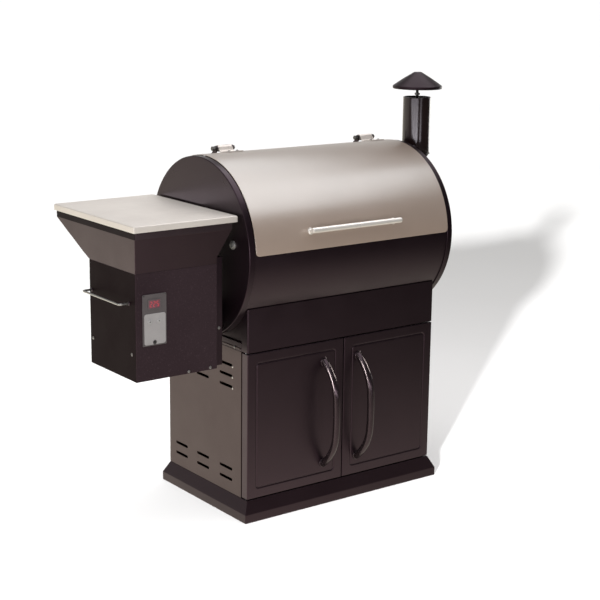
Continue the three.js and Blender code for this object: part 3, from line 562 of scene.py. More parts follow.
# darker copy of the bin's finish for the collar's left faces: painted shade under the cover's
# overhang
COLLAR_LEFT_SHADE = paint("collar_left_painted_shade", (0.006, 0.0038, 0.0046), (0.008, 0.0052, 0.0062),
             rough=0.55, specular=0.10)
GRIP = metal("grip_steel", (0.30, 0.29, 0.28), (0.40, 0.39, 0.38), rough=0.34, brush="y",
             metallic=0.9)
COVER = metal("cover_steel", (0.64, 0.595, 0.555), (0.72, 0.675, 0.63), rough=0.52,
              brush="x", edge=0.2, metallic=0.35)
ZINC = metal("zinc_plate", (0.34, 0.35, 0.36), (0.52, 0.53, 0.54), rough=0.42, spots=0.55,
             grain=0.00004)
BOLT = metal("dark_bolt", (0.09, 0.088, 0.085), (0.16, 0.155, 0.15), rough=0.38)
DULL = metal("dull_screw", (0.20, 0.19, 0.19), (0.30, 0.29, 0.285), rough=0.45, metallic=0.8)
SCREW = metal("bright_screw", (0.50, 0.50, 0.49), (0.66, 0.65, 0.63), rough=0.32)
GRATE = paint("grate_enamel", (0.012, 0.011, 0.010), (0.030, 0.027, 0.024), rough=0.42,
              peel=0.00012, grain=0.00020, grain_scale=500, edge=0.4)
POT = paint("pot_scale", (0.030, 0.024, 0.020), (0.075, 0.060, 0.050), rough=0.7,
            peel=0.0003, grain=0.0003, grain_scale=400, edge=0.3)
SILVER = plastic("panel_silver", (0.27, 0.258, 0.264), (0.31, 0.297, 0.303), rough=0.42)
PANEL = plastic("panel_grey", (0.066, 0.056, 0.060), (0.080, 0.068, 0.072), rough=0.42)
KEY = plastic("key_silver", (0.30, 0.295, 0.30), (0.36, 0.35, 0.355), rough=0.38)
RUBBER = plastic("button_rubber", (0.010, 0.010, 0.010), (0.018, 0.017, 0.017), rough=0.6,
                 grain=0.00006)
DARK_PLASTIC = plastic("dark_plastic", (0.014, 0.014, 0.014), (0.024, 0.023, 0.023),
                       rough=0.5)
BOARD = plastic("board_green", (0.010, 0.055, 0.022), (0.016, 0.085, 0.034), rough=0.4)
LENS = plastic("display_lens", (0.13, 0.055, 0.070), (0.17, 0.072, 0.090), rough=0.22)
DIGIT = glow("display_digit", (0.55, 0.06, 0.08), strength=0.14)

# CAD parts shown as they are: material, width of the eased edges
KEPT = {
    "rear_apron": (BLACK, 0.5), "cradle_left": (BLACK, 0.4), "cradle_right": (BLACK, 0.4),
    "cabinet_top": (BLACK, 0.4), "cabinet_back": (BLACK, 0.4), "cabinet_floor": (BLACK, 0.4),
    "door_hinge_rod_left": (ZINC, 0.4), "door_hinge_rod_right": (ZINC, 0.4),
    "hopper_hinge_pin": (ZINC, 0.4), "hopper_guard": (ZINC, 0.5),
    "control_board": (BOARD, 0.4), "auger_tube": (ZINC, 0.4), "auger_screw": (ZINC, 0.5),
    "auger_motor": (DARK_PLASTIC, 1.2), "fan_housing": (DARK_PLASTIC, 0.7),
    "fan_impeller": (ZINC, 0.3), "fire_pot": (POT, 0.6), "igniter_rod": (STEEL, 0.5),
    "heat_baffle": (POT, 0.5), "grease_tray": (ZINC, 0.4), "drain_tube": (ZINC, 0.3),
    "grease_pail": (ZINC, 0.3),
}


# ---------------------------------------------------------------- objects
def new_mesh(name, shape):
    mesh = bpy.data.meshes.new(name)
    mesh.from_pydata([(x * MM, y * MM, z * MM) for x, y, z in shape.points], [], shape.faces)
    return mesh


def new_object(name, data):
    ob = bpy.data.objects.new(name, data)
    SCENE.collection.objects.link(ob)
    return ob


def weighted_normals(ob):
    ob.modifiers.new("normals", "WEIGHTED_NORMAL").keep_sharp = True


def piece(name, shape, materials, body, stands=None, angle=34):
    """an object that rides body; edges sharper than angle degrees stay sharp"""
    mesh = new_mesh(name, shape)
    for face, mat in zip(mesh.polygons, shape.mats):
        face.material_index = mat
    for material in materials:
        mesh.materials.append(material)
    bm = bmesh.new()
    bm.from_mesh(mesh)
    bmesh.ops.remove_doubles(bm, verts=bm.verts, dist=2e-6)
    bmesh.ops.dissolve_degenerate(bm, edges=bm.edges, dist=1e-7)
    bmesh.ops.recalc_face_normals(bm, faces=bm.faces)
    bm.to_mesh(mesh)
    bm.free()
    mesh.shade_smooth()
    ob = new_object(name, mesh)
    mesh.set_sharp_from_angle(angle=radians(angle))
    weighted_normals(ob)
    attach(ob, body)
    if stands:
        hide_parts(stands)
    return ob


def keep(name, material, edge):
    """a CAD node with its edges eased and a finish of its own"""
    ob = NODES[name]
    ob.data.materials.clear()
    ob.data.materials.append(material)
    for face in ob.data.polygons:
        face.material_index = 0
        face.use_smooth = True
    ob.modifiers.new("weld", "WELD").merge_threshold = 2e-5
    bevel = ob.modifiers.new("edge", "BEVEL")
    bevel.width = edge * MM
    bevel.segments = 2
    bevel.limit_method = "ANGLE"
    bevel.angle_limit = radians(30)
    bevel.use_clamp_overlap = True
    weighted_normals(ob)


# ---------------------------------------------------------------- barrel
def barrel_skin():
    """open at the front, with ledges for the grate and short shelves for the tray"""
    shape = Shape()
    inner = SHELL_R - SHEET
    # x, height above the inner face
    section = [(-395.5, 0.6), (-394.9, 0.0), (394.9, 0.0), (395.5, 0.6), (395.5, SHEET - 0.6),
               (394.9, SHEET), (-394.9, SHEET), (-395.5, SHEET - 0.6)]
    section = [(x, inner + w) for x, w in section]
    shape.loft([across_barrel(a, section) for a in angles(104.0, 365.0, 2.0)])
    ledge = GRATE_Z - AXIS_Z - 2.6
    reach = sqrt(inner ** 2 - ledge ** 2)
    for s in (-1, 1):
        shape.rbox(-365, 365, *on_side(s, reach + 0.6, reach - 20),
                   AXIS_Z + ledge - 3, AXIS_Z + ledge, 0.6, 2)
        for x0, x1 in ((-364, -340), (284, 308)):
            z = 796 - AXIS_Z - (x1 + 365) * 0.028 - 1.2  # the tray falls towards +x
            wall = sqrt(inner ** 2 - z * z)
            shape.rbox(x0, x1, *on_side(s, 236, wall + 0.6), AXIS_Z + z - 3, AXIS_Z + z, 0.6, 2)
    piece("barrel_skin", shape, [BARREL], "body", "barrel_shell")


def end_cap(side, s):
    """a pressed disc with a tight edge and a rim band"""
    bend = 2.6
    profile = [(r, CAP_X) for r in (0, 90, 200, 262, CAP_R - 6.0, CAP_R - 3.2)]
    for k in range(1, 9):
        t = pi / 2 * k / 8
        profile.append((CAP_R - bend + bend * sin(t), CAP_X - bend + bend * cos(t)))
    rim = CAP_X - CAP_RIM
    profile += [
        (CAP_R, CAP_X - 9), (CAP_R, rim + 0.8), (CAP_R - 0.8, rim), (CAP_R - 1.9, rim),
        (CAP_R - SHEET, rim + 0.8), (CAP_R - SHEET, CAP_X - 6),
        (CAP_R - SHEET - 1.2, CAP_X - SHEET - 0.5), (262, CAP_X - SHEET), (0, CAP_X - SHEET),
    ]
    shape = Shape()
    shape.lathe("x", [(r, s * x) for r, x in profile], (0, 0, AXIS_Z), 120, closed=False)
    return piece("end_cap_" + side[0], shape, [CAP], "body", "end_cap_" + side,
                 angle=40)


def probe_gland():
    at = (0, -192.2, 868)
    shape = Shape()
    shape.lathe("x", [
        (0, -409), (5.6, -409), (7.0, -408.3), (7.4, -407.2), (7.4, -405.6), (8.0, -405.1),
        (12.4, -404.6), (13.3, -403.8), (13.5, -402), (13.3, -399.9), (6, -399.9),
        (5.5, -399.4), (5.5, -388), (4, -387), (4, -263), (3, -260.6), (0, -260),
    ], at, 40, closed=False)
    shape.lathe("x", [(7.2, -405.2), (9.0, -405.2), (10.4, -405.0), (10.4, -407.4),
                      (9.6, -408.0), (7.2, -408.0)], at, 6, mat=1)
    piece("probe_gland", shape, [GLAND, GLAND], "body", "temp_probe")


# ---------------------------------------------------------------- lid
def lid_panel():
    """rolled sheet with rounded lower corners"""
    corner = 12.0
    per_degree = pi / 180 * LID_R
    # rows round the lid: angle, how far the ends are drawn in, how much the sheet thins
    rows = []
    for rise in (0.0, 0.5, 1.2, 2.2, 3.6, 5.4, 7.5, 9.8, 12.0):
        drawn_in = corner - sqrt(max(0.0, corner * corner - (corner - rise) ** 2))
        thin = {0.0: 0.9, 0.5: 0.35}.get(rise, 0.0)
        rows.append((LID_A0 + rise / per_degree, drawn_in, thin))
    above = LID_A0 + corner / per_degree + 1.0
    rows += [(a, 0.0, 0.0) for a in angles(above, LID_A1 - 0.3, 1.6)]
    rows += [(LID_A1 - 0.12, 0.0, 0.3), (LID_A1, 0.0, 0.8)]
    rings = []
    e = 0.6
    for a, drawn_in, thin in rows:
        h = LID_HALF - drawn_in
        r0, r1 = LID_R - LID_T + thin * 0.5, LID_R - thin * 0.5
        middle = (r0 + r1) / 2
        low, high = min(r0 + e, middle), max(r1 - e, middle)
        rings.append(across_barrel(a, [
            (-h, low), (-h + e, r0), (-h + 30, r0), (h - 30, r0), (h - e, r0), (h, low),
            (h, high), (h - e, r1), (h - 30, r1), (-h + 30, r1), (-h + e, r1), (-h, high),
        ]))
    shape = Shape()
    shape.loft(rings)
    return piece("lid_panel", shape, [LID], "lid", "lid_skin", angle=40)


def lid_handle():
    """a bar on two turned posts"""
    y, z = on_barrel(HANDLE_A, HANDLE_R)
    shape = Shape()
    stations = (HANDLE_X0, HANDLE_X0 + 30, 0, HANDLE_X1 - 30, HANDLE_X1)
    shape.tube([(x, y, z) for x in stations], 8.5, 40, dome=2.6)
    piece("lid_handle_tube", shape, [BAR], "lid", "lid_handle_bar", angle=50)
    # post: radius, height above the lid; then up to the bar
    post = [(9.5, 0.25), (10.6, 0.5), (10.9, 1.1), (10.6, 1.9), (8.4, 2.6), (6.6, 3.6),
            (5.9, 6), (5.8, 12), (6.2, 16)]
    post = [(r, LID_R + h) for r, h in post]
    post += [(7.0, HANDLE_R - 7.2), (6.2, HANDLE_R - 4.5), (3.0, HANDLE_R - 3.5)]
    for side, x in (("left", HANDLE_X0 + 12), ("right", HANDLE_X1 - 12)):
        shape = Shape()
        shape.stud(x, HANDLE_A, post)
        piece("lid_handle_foot_" + side, shape, [BAR], "lid", "lid_handle_post_" + side,
              angle=50)


def hinge_strap(side, x):
    """a strap that follows the lid, then lifts to the knuckle"""
    line = [on_barrel(PIVOT_A - 13.8 + 9.4 * k / 6, LID_R + 0.35) for k in range(7)]
    # degrees short of the pivot, height above the lid
    for back, lift in ((3.3, 0.9), (2.75, 2.2), (2.35, 5.0), (2.05, 9.5)):
        line.append(on_barrel(PIVOT_A - back, LID_R + lift))
    line.append(on_barrel(PIVOT_A - 1.9, PIVOT_R))
    section = thick(line[::-1], -2.4)
    shape = Shape()
    stations = (x - 26, x - 25.5, x + 25.5, x + 26)
    shape.loft([[(station, y, z) for y, z in section] for station in stations])
    pivot = (0, *on_barrel(PIVOT_A, PIVOT_R))
    shape.lathe("x", pipe_wall(KNUCKLE_R, 4.4, x - 26, x + 26, 0.7), pivot, 40)
    rivet = [(4.6, 2.4), (4.6, 3.0), (3.9, 4.3), (2.2, 4.9), (0.6, 4.95)]
    for dx in (-15, 15):
        shape.stud(x + dx, PIVOT_A - 10, [(r, LID_R + h) for r, h in rivet], 16, mat=1)
    piece("hinge_strap_" + side, shape, [LEAF, BOLT], "lid", "lid_hinge_leaf_" + side,
          angle=38)


def hinge_ears(side, x):
    """a curved foot with two ears, their outline rounded over the pin"""
    py, pz = on_barrel(PIVOT_A, PIVOT_R)
    r0, r1 = SHELL_R + 0.35, SHELL_R + 2.9
    section = [(x - 36, r0), (x + 36, r0), (x + 36, r1), (x - 36, r1)]
    shape = Shape()
    shape.loft([across_barrel(a, section) for a in angles(PIVOT_A + 2.5, PIVOT_A + 12.0, 1.2)])
    ear = [on_barrel(PIVOT_A + 2.6, SHELL_R + 1.4), on_barrel(PIVOT_A + 11.2, SHELL_R + 1.4),
           on_barrel(PIVOT_A + 10.4, SHELL_R + 5.0)]
    for k in range(9):
        t = radians(-18 + 24 * k)
        ear.append((py + 8.8 * cos(t), pz + 8.8 * sin(t)))
    ear.append(on_barrel(PIVOT_A - 0.9, PIVOT_R - 9))
    for x0, x1 in ((x - 32, x - 28), (x + 28, x + 32)):
        shape.plate(ear, [hole(py, pz, 4.4, 20)], lambda u, v, w: (w, u, v), x0, x1, 0.4)
    rivet = [(4.4, 2.8), (4.4, 3.4), (3.7, 4.6), (2.1, 5.2), (0.6, 5.25)]
    for dx in (-17, 17):
        shape.stud(x + dx, PIVOT_A + 7.6, [(r, SHELL_R + h) for r, h in rivet], 16, mat=1)
    piece("hinge_ears_" + side, shape, [BLACK, BOLT], "body", "lid_hinge_bracket_" + side,
          angle=38)


def hinge_bolt(side, x):
    """a bolt through the knuckle: shank, hex head, washer, nut"""
    py, pz = on_barrel(PIVOT_A, PIVOT_R)
    pivot = (0, py, pz)
    shape = Shape()
    shank = [(0, x - 34), (4.0, x - 34), (4.0, x + 39.4), (3.4, x + 40), (0, x + 40)]
    shape.lathe("x", shank, pivot, 20, closed=False)
    shape.hexagon("x", (x - 45, py, pz), 13, 10.6)
    shape.lathe("x", pipe_wall(8.0, 4.1, x - 34.1, x - 32.4, 0.3), pivot, 24)
    shape.hexagon("x", (x + 32.6, py, pz), 12.5, 5.4)
    piece("hinge_bolt_" + side, shape, [BOLT], "body", "lid_hinge_pin_" + side,
          angle=30)


# ---------------------------------------------------------------- grates
def cooking_grate():
    shape = Shape()
    for y in (-259.2, 259.2, 0):
        shape.tube([(x, y, GRATE_Z + 0.7) for x in (-367, -200, 200, 367)], 2.7, 12, dome=0.8)
    rods = 46
    for i in range(rods):
        x = -363 + 726 * i / (rods - 1)
        path = [(x, y, GRATE_Z + 3.7) for y in (-261.4, -90, 90, 261.4)]
        shape.tube(path, 2.15, 10, dome=0.8)
    piece("grate_rods", shape, [GRATE], "grates", "cooking_grate", angle=50)


def warming_rack():
    shape = Shape()
    top = AXIS_Z + 110.4
    y0, y1 = -37.5, 167.5
    for y in (y0, 65, y1):
        shape.tube([(x, y, top) for x in (-299.5, -100, 100, 299.5)], 2.5, 12, dome=0.8)
    for x in (-297, 297):
        for y, s in ((y0, 1), (y1, -1)):
            leg = [(x, y + s * 24, top), (x, y, top), (x, y, GRATE_Z + 8.9)]
            shape.tube(fillet(leg, 8, 5), 2.5, 12, dome=0.8)
    for i in range(33):
        x = -293 + 586 * i / 32
        shape.tube([(x, y, top + 4.0) for y in (-39.5, 60, 169.5)], 1.7, 8, dome=0.6)
    piece("rack_rods", shape, [ZINC], "grates", "warming_rack", angle=50)


# ---------------------------------------------------------------- chimney
def flue_pipe():
    r, z0, z1 = CHIM_R, ELBOW_Z1, CHIM_Z1
    shape = Shape()
    shape.lathe("z", [
        (r - 2, z0 + 0.9), (r - 1.4, z0 + 0.3), (r - 0.6, z0 + 0.3), (r, z0 + 0.9),
        (r, z1 - 3.2), (r + 0.5, z1 - 2.2), (r + 0.5, z1 - 0.9), (r - 0.2, z1),
        (r - 1.8, z1), (r - 2.4, z1 - 1), (r - 2, z1 - 3),
    ], (CHIM_X, 0, 0), 96)
    piece("flue_pipe", shape, [GLOSS], "body", "chimney_pipe", angle=50)


def mitre(path, r, n):
    """rings of a tube whose bends are mitred in the x, z plane"""
    path = [Vector(p) for p in path]
    legs = [(b - a).normalized() for a, b in zip(path, path[1:])]
    rings = []
    for i, p in enumerate(path):
        along = legs[max(i - 1, 0)]
        normal = (along + legs[min(i, len(legs) - 1)]).normalized()
        v = Vector((0, 1, 0))
        u = along.cross(v)
        ring = []
        for k in range(n):
            t = 2 * pi * k / n
            q = p + v * (r * cos(t)) + u * (r * sin(t))
            ring.append(tuple(q + along * ((p - q).dot(normal) / along.dot(normal))))
        rings.append(ring)
    return rings


def weld_bead(shape, ring):
    """an uneven bead round a mitred joint"""
    ring = [Vector(p) for p in ring]
    n = len(ring)
    centre = sum(ring, Vector()) / n
    turns = [2 * pi * q / 8 for q in range(8)]
    bead = []
    for k, p in enumerate(ring):
        along = (ring[(k + 1) % n] - ring[k - 1]).normalized()
        out = (p - centre).normalized()
        across = along.cross(out)
        r = 1.35 + 0.25 * sin(k * 2.1)
        bead.append([tuple(p + out * (r * cos(a)) + across * (r * 1.3 * sin(a)))
                     for a in turns])
    shape.loft(bead, closed=True)


def flue_elbow():
    """a two-mitre elbow that ends in a screwed flange on the right end cap"""
    path = [(CHIM_X, 0, ELBOW_Z1), (CHIM_X, 0, 1077), (432, 0, FLUE_Z),
            (CAP_X + 0.4, 0, FLUE_Z)]
    n = 96
    outer, inner = mitre(path, CHIM_R, n), mitre(path, CHIM_R - 2, n)
    count = len(path) * n
    skin = strips(len(path), n)
    faces = skin + [[count + f[k] for k in (0, 3, 2, 1)] for f in skin]
    for i in range(n):
        j = (i + 1) % n
        faces.append([i, count + i, count + j, j])
        end = count - n
        faces.append([end + j, count + end + j, count + end + i, end + i])
    shape = Shape()
    shape.add([p for ring in outer + inner for p in ring], faces)
    for ring in outer[1:3]:
        weld_bead(shape, ring)
    centre = (0, 0, FLUE_Z)
    flange = pipe_wall(CHIM_R + 12, CHIM_R - 0.5, CAP_X + 0.35, CAP_X + 2.8, 0.6)
    shape.lathe("x", flange, centre, 72)
    weld = [(-0.2, 2.6), (3.0, 2.7), (1.6, 4.2), (-0.2, 6.0)]
    shape.lathe("x", [(CHIM_R + r, CAP_X + x) for r, x in weld], centre, 72)
    for k in range(6):
        t = 2 * pi * (k + 0.5) / 6
        at = (CAP_X + 2.8, (CHIM_R + 7) * cos(t), FLUE_Z + (CHIM_R + 7) * sin(t))
        shape.screw(at, "+x", 2.6, 1.8)
    piece("flue_elbow", shape, [GLOSS, BOLT], "body", "chimney_elbow",
          angle=28)


def flue_vent():
    """the crossbar in the pipe, the threaded stud through it and the hood on top"""
    shape = Shape()
    bar = [(-43.3, -6), (43.3, -6), (43.3, 6), (-43.3, 6)]
    shape.plate(bar, [hole(0, 0, 5.5, 24)], lambda u, v, w: (CHIM_X + u, v, w),
                1221, 1225, 0.5)
    piece("flue_crossbar", shape, [BLACK], "body", "vent_crossbar")

    shape = Shape()
    profile = [(0, 1188.0), (4.2, 1188.0)]
    for k in range(92):
        z = 1189.0 + 1.5 * k
        profile += [(4.95, z), (4.25, z + 0.75)]
    profile += [(4.6, 1328), (4.6, 1331.2), (0, 1331.6)]
    shape.lathe("z", profile, (CHIM_X, 0, 0), 20, closed=False)
    for z in (1315, 1258):
        shape.hexagon("z", (CHIM_X, 0, z), 16, 7, mat=1)
    piece("flue_stud", shape, [BOLT, BOLT], "vent", "vent_rod", angle=30)

    def slope(r0, z0, r1, z1):
        """a slightly crowned slope, without its first point"""
        steps = [k / 8 for k in range(1, 9)]
        return [(r0 + (r1 - r0) * q, z0 + (z1 - z0) * q + 1.2 * sin(pi * q)) for q in steps]

    shape = Shape()
    rim = [(-1.0, 1289.6), (-0.2, 1288.4), (0.0, 1286.8), (0.0, 1282.2), (-0.5, 1280.6),
           (-1.3, 1280.0), (-2.3, 1280.5), (-2.4, 1282.2), (-2.2, 1287.2), (-3.4, 1288.8)]
    profile = [(0, 1334.6), (9, 1334.6), (12.0, 1334.2), (14.5, 1333.0)]
    profile += slope(14.5, 1333.0, VENT_R - 2.4, 1290.6)
    profile += [(VENT_R + r, z) for r, z in rim]
    profile += slope(14.0, 1331.0, VENT_R - 4.4, 1288.9)[::-1]
    profile += [(12, 1332.0), (0, 1332.0)]
    shape.lathe("z", profile, (CHIM_X, 0, 0), 96, closed=False)
    piece("flue_hood", shape, [HOOD], "vent", "vent_cap", angle=50)


# ---------------------------------------------------------------- cabinet
def fascia():
    """a bent sheet over the doors whose returns follow the barrel"""
    def bent(x, y_front, r):
        return fillet([(-x, -194), (-x, y_front), (x, y_front), (x, -194)], r, 6)

    loop = bent(CAB_X, DOOR_Y, 4.0) + bent(CAB_X - SHEET, DOOR_Y + SHEET, 4.0 - SHEET)[::-1]
    section = []
    # points along the returns, so that their tops can curve
    for i, (x0, y0) in enumerate(loop):
        x1, y1 = loop[(i + 1) % len(loop)]
        k = max(1, int(dist((x0, y0), (x1, y1)) // 4.0)) if abs(x0 - x1) < 5 else 1
        section += [(x0 + (x1 - x0) * j / k, y0 + (y1 - y0) * j / k) for j in range(k)]
    top = [min(FASCIA_Z1, AXIS_Z - sqrt(275.4 ** 2 - y * y)) for x, y in section]
    shape = Shape()
    shape.loft([
        [(x, y, FASCIA_Z0) for x, y in section],
        [(x, y, z - 0.5) for (x, y), z in zip(section, top)],
        [(x, y, z) for (x, y), z in zip(section, top)],
    ])
    shape.rbox(-CAB_X + 2.4, CAB_X - 2.4, DOOR_Y + 1.5, DOOR_Y + 20,
               FASCIA_Z0, FASCIA_Z0 + 2.5, 0.6, 2)
    piece("fascia_sheet", shape, [BLACK], "body", "fascia_panel", angle=30)


def slot_lip(shape, s, y, z):
    """a lip behind the upper edge of a slot, like a small louvre"""
    inner = CAB_X - SHEET
    rings = []
    for k in range(9):
        q = -1 + 2 * k / 8
        deep = sqrt(max(0.0, 1 - q ** 8))
        section = [(inner + 0.4, z + 4.2), (inner - 6.5 * deep - 0.1, z - 1.5),
                   (inner - 7.4 * deep - 0.2, z - 0.6), (inner + 0.4, z + 5.4)]
        rings.append([(s * x, y + q * (SLOT_L / 2 - 1.0), lip_z) for x, lip_z in section])
    shape.loft(rings)


def cabinet_wall(side, s):
    """a punched plate with lipped slots and a turned-in front edge"""
    slots = [(y, z) for y in SLOT_Y for z in SLOT_Z]
    half_l, half_h = SLOT_L / 2, SLOT_H / 2
    holes = [rrect(y - half_l, y + half_l, z - half_h, z + half_h, half_h - 0.01, 6)[::-1]
             for y, z in slots]
    shape = Shape()
    shape.plate(rrect(BODY_Y, BACK_Y, CAB_Z0, CAB_Z1, 1.5, 3), holes,
                lambda u, v, w: (s * w, u, v), CAB_X - SHEET, CAB_X, 0.6)
    shape.rbox(*on_side(s, CAB_X - 1.0, CAB_X - 20), BODY_Y, BODY_Y + SHEET,
               CAB_Z0 + 0.5, CAB_Z1 - 0.5, 0.6, 2)
    for y, z in slots:
        slot_lip(shape, s, y, z)
    if s < 0:
        for z in (480.5, 446.6, 411.7):
            shape.screw((-CAB_X + 0.2, -144.5, z - 4.2), "-x", 2.4, 2.0)
    piece("cabinet_wall_" + side, shape, [SIDE, SCREW], "body", "cabinet_side_" + side,
          angle=30)


def plinth():
    """a folded skirt with a top flange and a strip across its underside"""
    box = (-CAB_X, CAB_X, DOOR_Y, BACK_Y)
    out = PLINTH_OUT
    # distance out from the cabinet, z, corner radius: outer face, then inner face
    skirt = [
        (out - 0.8, 0.0, 1.8), (out, 0.9, 2.2), (out, 26.0, 2.2), (out - 0.25, 27.6, 2.2),
        (out - 1.1, 29.2, 2.0), (0.7, 63.4, 1.6), (0.0, 64.6, 1.4), (-0.6, 65.0, 1.2),
        (-2.2, 65.0, 1.0), (-3.0, 63.8, 1.0), (out - 4.6, 27.5, 1.0), (out - 3.0, 26.0, 1.0),
        (out - 3.0, 3.0, 1.0), (-11.0, 3.0, 1.0), (-11.0, 0.0, 1.0),
    ]
    flange = [(-1.2, 62.2, 1.0), (-1.2, 64.9, 1.0), (-40, 64.9, 1.0), (-40, 62.2, 1.0)]
    shape = Shape()
    for rows in (skirt, flange):
        shape.loft([level(box, -e, z, r, 5) for e, z, r in rows], closed=True)
    shape.rbox(-30, 30, DOOR_Y + 2, BACK_Y - 2, 0.0, 2.6, 0.6, 2)
    piece("plinth_skirt", shape, [PLINTH], "body", "plinth_base", angle=26)


def door_panel(side, s):
    """a pressed pan with a beaded panel"""
    box = (*on_side(s, CAB_X - 0.3, 1.5), DOOR_Z0, DOOR_Z1)
    depth, bend, bead_at = DOOR_DEPTH, 3.2, 29.0
    # distance in from the outline, depth behind the face, corner radius
    rows = [(SHEET, depth - 0.6, 1.0), (SHEET - 0.6, depth, 1.5), (0.6, depth, 1.6),
            (0, depth - 0.6, 2.2), (0, bend, 2.2)]
    for k in range(1, 7):
        t = pi / 2 * k / 6
        e = bend - bend * cos(t)
        rows.append((e, bend - bend * sin(t), 2.2 + e * 0.5))
    rows.append((bead_at - 3.0, 0, 13.0))
    # the groove: distance in from bead_at, depth, corner radius before drawing in
    groove = [(0.0, 0.02, 14), (0.7, 0.25, 14.2), (1.5, 0.9, 14.5), (2.3, 1.6, 14.8),
              (3.1, 2.05, 15), (4.0, 2.2, 15.2), (4.9, 2.05, 15), (5.7, 1.6, 14.8),
              (6.5, 0.9, 14.5), (7.3, 0.25, 14.2), (8.0, 0.02, 14)]
    rows += [(bead_at + e, d, r - e) for e, d, r in groove]
    rows += [(bead_at + 11, 0, 8.0), (bead_at + 60, 0, 4.0)]
    inside = [(SHEET, depth - 0.6, 1.0), (SHEET, SHEET + 1.5, 1.0),
              (SHEET + 1.5, SHEET, 1.0), (bead_at + 60, SHEET, 4.0)]
    shape = Shape()
    for table in (rows, inside):
        shape.loft([[(x, DOOR_Y + d, z) for x, z in inset(box, e, r, 8)]
                    for e, d, r in table], start=False)
    # magnet plate inside near the meeting edge
    shape.rbox(*on_side(s, 14, 44), DOOR_Y + SHEET - 0.2, DOOR_Y + SHEET + 1.2,
               505, 522, 0.4, 2, mat=1)
    piece("door_panel_" + side, shape, [BLACK, ZINC], side + "_door", "door_" + side,
          angle=28)


def door_pull(side, x):
    """a bowed tube handle on two flared feet"""
    z0, z1, out = 129.0, 469.0, 67.0
    # share of the length, share of the reach
    bow = [(0, 0), (0.045, 0.27), (0.105, 0.54), (0.18, 0.78), (0.27, 0.94), (0.37, 1.0),
           (0.5, 1.02), (0.63, 1.0), (0.73, 0.94), (0.82, 0.78), (0.895, 0.54),
           (0.955, 0.27), (1, 0)]
    knots = [Vector((x, DOOR_Y - 0.6 - out * k, z0 + (z1 - z0) * t)) for t, k in bow]
    last = len(knots) - 1
    path = []
    # a smooth curve through the knots
    for i in range(last):
        a, b, c, d = knots[max(i - 1, 0)], knots[i], knots[i + 1], knots[min(i + 2, last)]
        for k in range(8):
            t = k / 8
            path.append(0.5 * ((2 * b) + (c - a) * t + (2 * a - 5 * b + 4 * c - d) * t * t
                               + (3 * b - a - 3 * c + d) * t ** 3))
    path.append(knots[-1])
    shape = Shape()
    shape.tube(path, 11.5, 32)
    # trim the two ends to the door's plane
    foot_y = DOOR_Y - 0.35
    shape.points = [(px, min(py, foot_y), pz) for px, py, pz in shape.points]
    # foot: radius, distance out
    foot = [(0, 0), (12.6, 0), (14.0, 0.5), (14.4, 1.3), (13.8, 2.4), (11.8, 3.0), (0, 3.2)]
    for z in (z0 + 2.5, z1 - 2.5):
        shape.lathe("y", [(r, foot_y - h) for r, h in foot], (x, 0, z), 32, closed=False)
    return piece("door_pull_" + side, shape, [PULL], side + "_door", "door_handle_" + side,
                 angle=50)


# ---------------------------------------------------------------- hopper
def hopper_case():
    """the lower box: folded sheet with eased folds, screws and louvres"""
    box = (HX0, HX1, HY0, HY1)
    # distance in, z, corner radius
    rows = [(3.0, HZ0, 1.0), (0.9, HZ0, 1.6), (0.2, HZ0 + 0.5, 2.0), (0, HZ0 + 1.6, 2.0),
            (0, HZ1 - 0.6, 2.0), (0.5, HZ1, 1.6), (SHEET - 0.4, HZ1, 1.0),
            (SHEET, HZ1 - 0.6, 0.8), (SHEET, HZ0 + SHEET, 0.8)]
    shape = Shape()
    shape.loft([level(box, e, z, r, 4) for e, z, r in rows])
    for y in (25.7, -202):
        shape.screw((HX0 + 0.1, y, 588), "-x", 3.6, 2.4)
    for x, z in ((-504, 515.6), (-579, 515.3)):
        shape.screw((x, HY0 + 0.1, z), "-y", 3.4, 2.4)
    for x in (-735, -500):
        for z in (540, 790):
            shape.screw((x, HY1 - 0.1, z), "+y", 3.4, 2.4)
    # cooling louvres on the back wall
    for k in range(6):
        z = 600 + 18 * k
        rings = []
        for q in range(9):
            t = -1 + q / 4
            deep = sqrt(max(0.0, 1 - t ** 6))
            section = [(-0.3, 7), (0.1 + 4.2 * deep, 0.8), (0.1 + 3.4 * deep, 0), (-0.3, 5.0)]
            rings.append([(-620 + t * 42, HY1 + dy, z + dz) for dy, dz in section])
        shape.loft(rings)
    case = piece("hopper_case", shape, [TEXTURED, DULL, HOPPER_LEFT_SHADE], "body", "hopper_shell",
                 angle=28)
    # painted shade: the case's left-facing faces take the darker copy of its finish
    for face in case.data.polygons:
        if face.material_index == 0 and face.normal.x < -0.9:
            face.material_index = 2


def hopper_frame():
    """the box between hopper and barrel, with a round neck to the left end cap"""
    x0, x1 = HX1 + 0.3, -444.0
    box = (-200.0, HY1, HZ0, 840.0)  # y0, y1, z0, z1
    # distance in, x, corner radius
    rows = [(SHEET, x0, 0.8), (0.5, x0, 1.6), (0, x0 + 0.6, 2.0), (0, x1 - 2.0, 2.0),
            (0.6, x1 - 0.6, 1.6), (2.2, x1, 1.0)]
    shape = Shape()
    shape.loft([[(x, y, z) for y, z in inset(box, e, r, 4)] for e, x, r in rows])
    neck = [(0, -445.0), (46, -445.0), (43.0, -443.2), (41, -441), (41, -404.5),
            (42.2, -402.2), (45.5, -400.4), (47, -399.85), (0, -399.85)]
    shape.lathe("x", neck, (0, 0, 620), 64, closed=False)
    shape.screw((-456, box[0] + 0.1, 624), "-y", 3.4, 2.4)
    piece("hopper_frame", shape, [BLACK, DULL], "body", "hopper_chassis",
          angle=28)


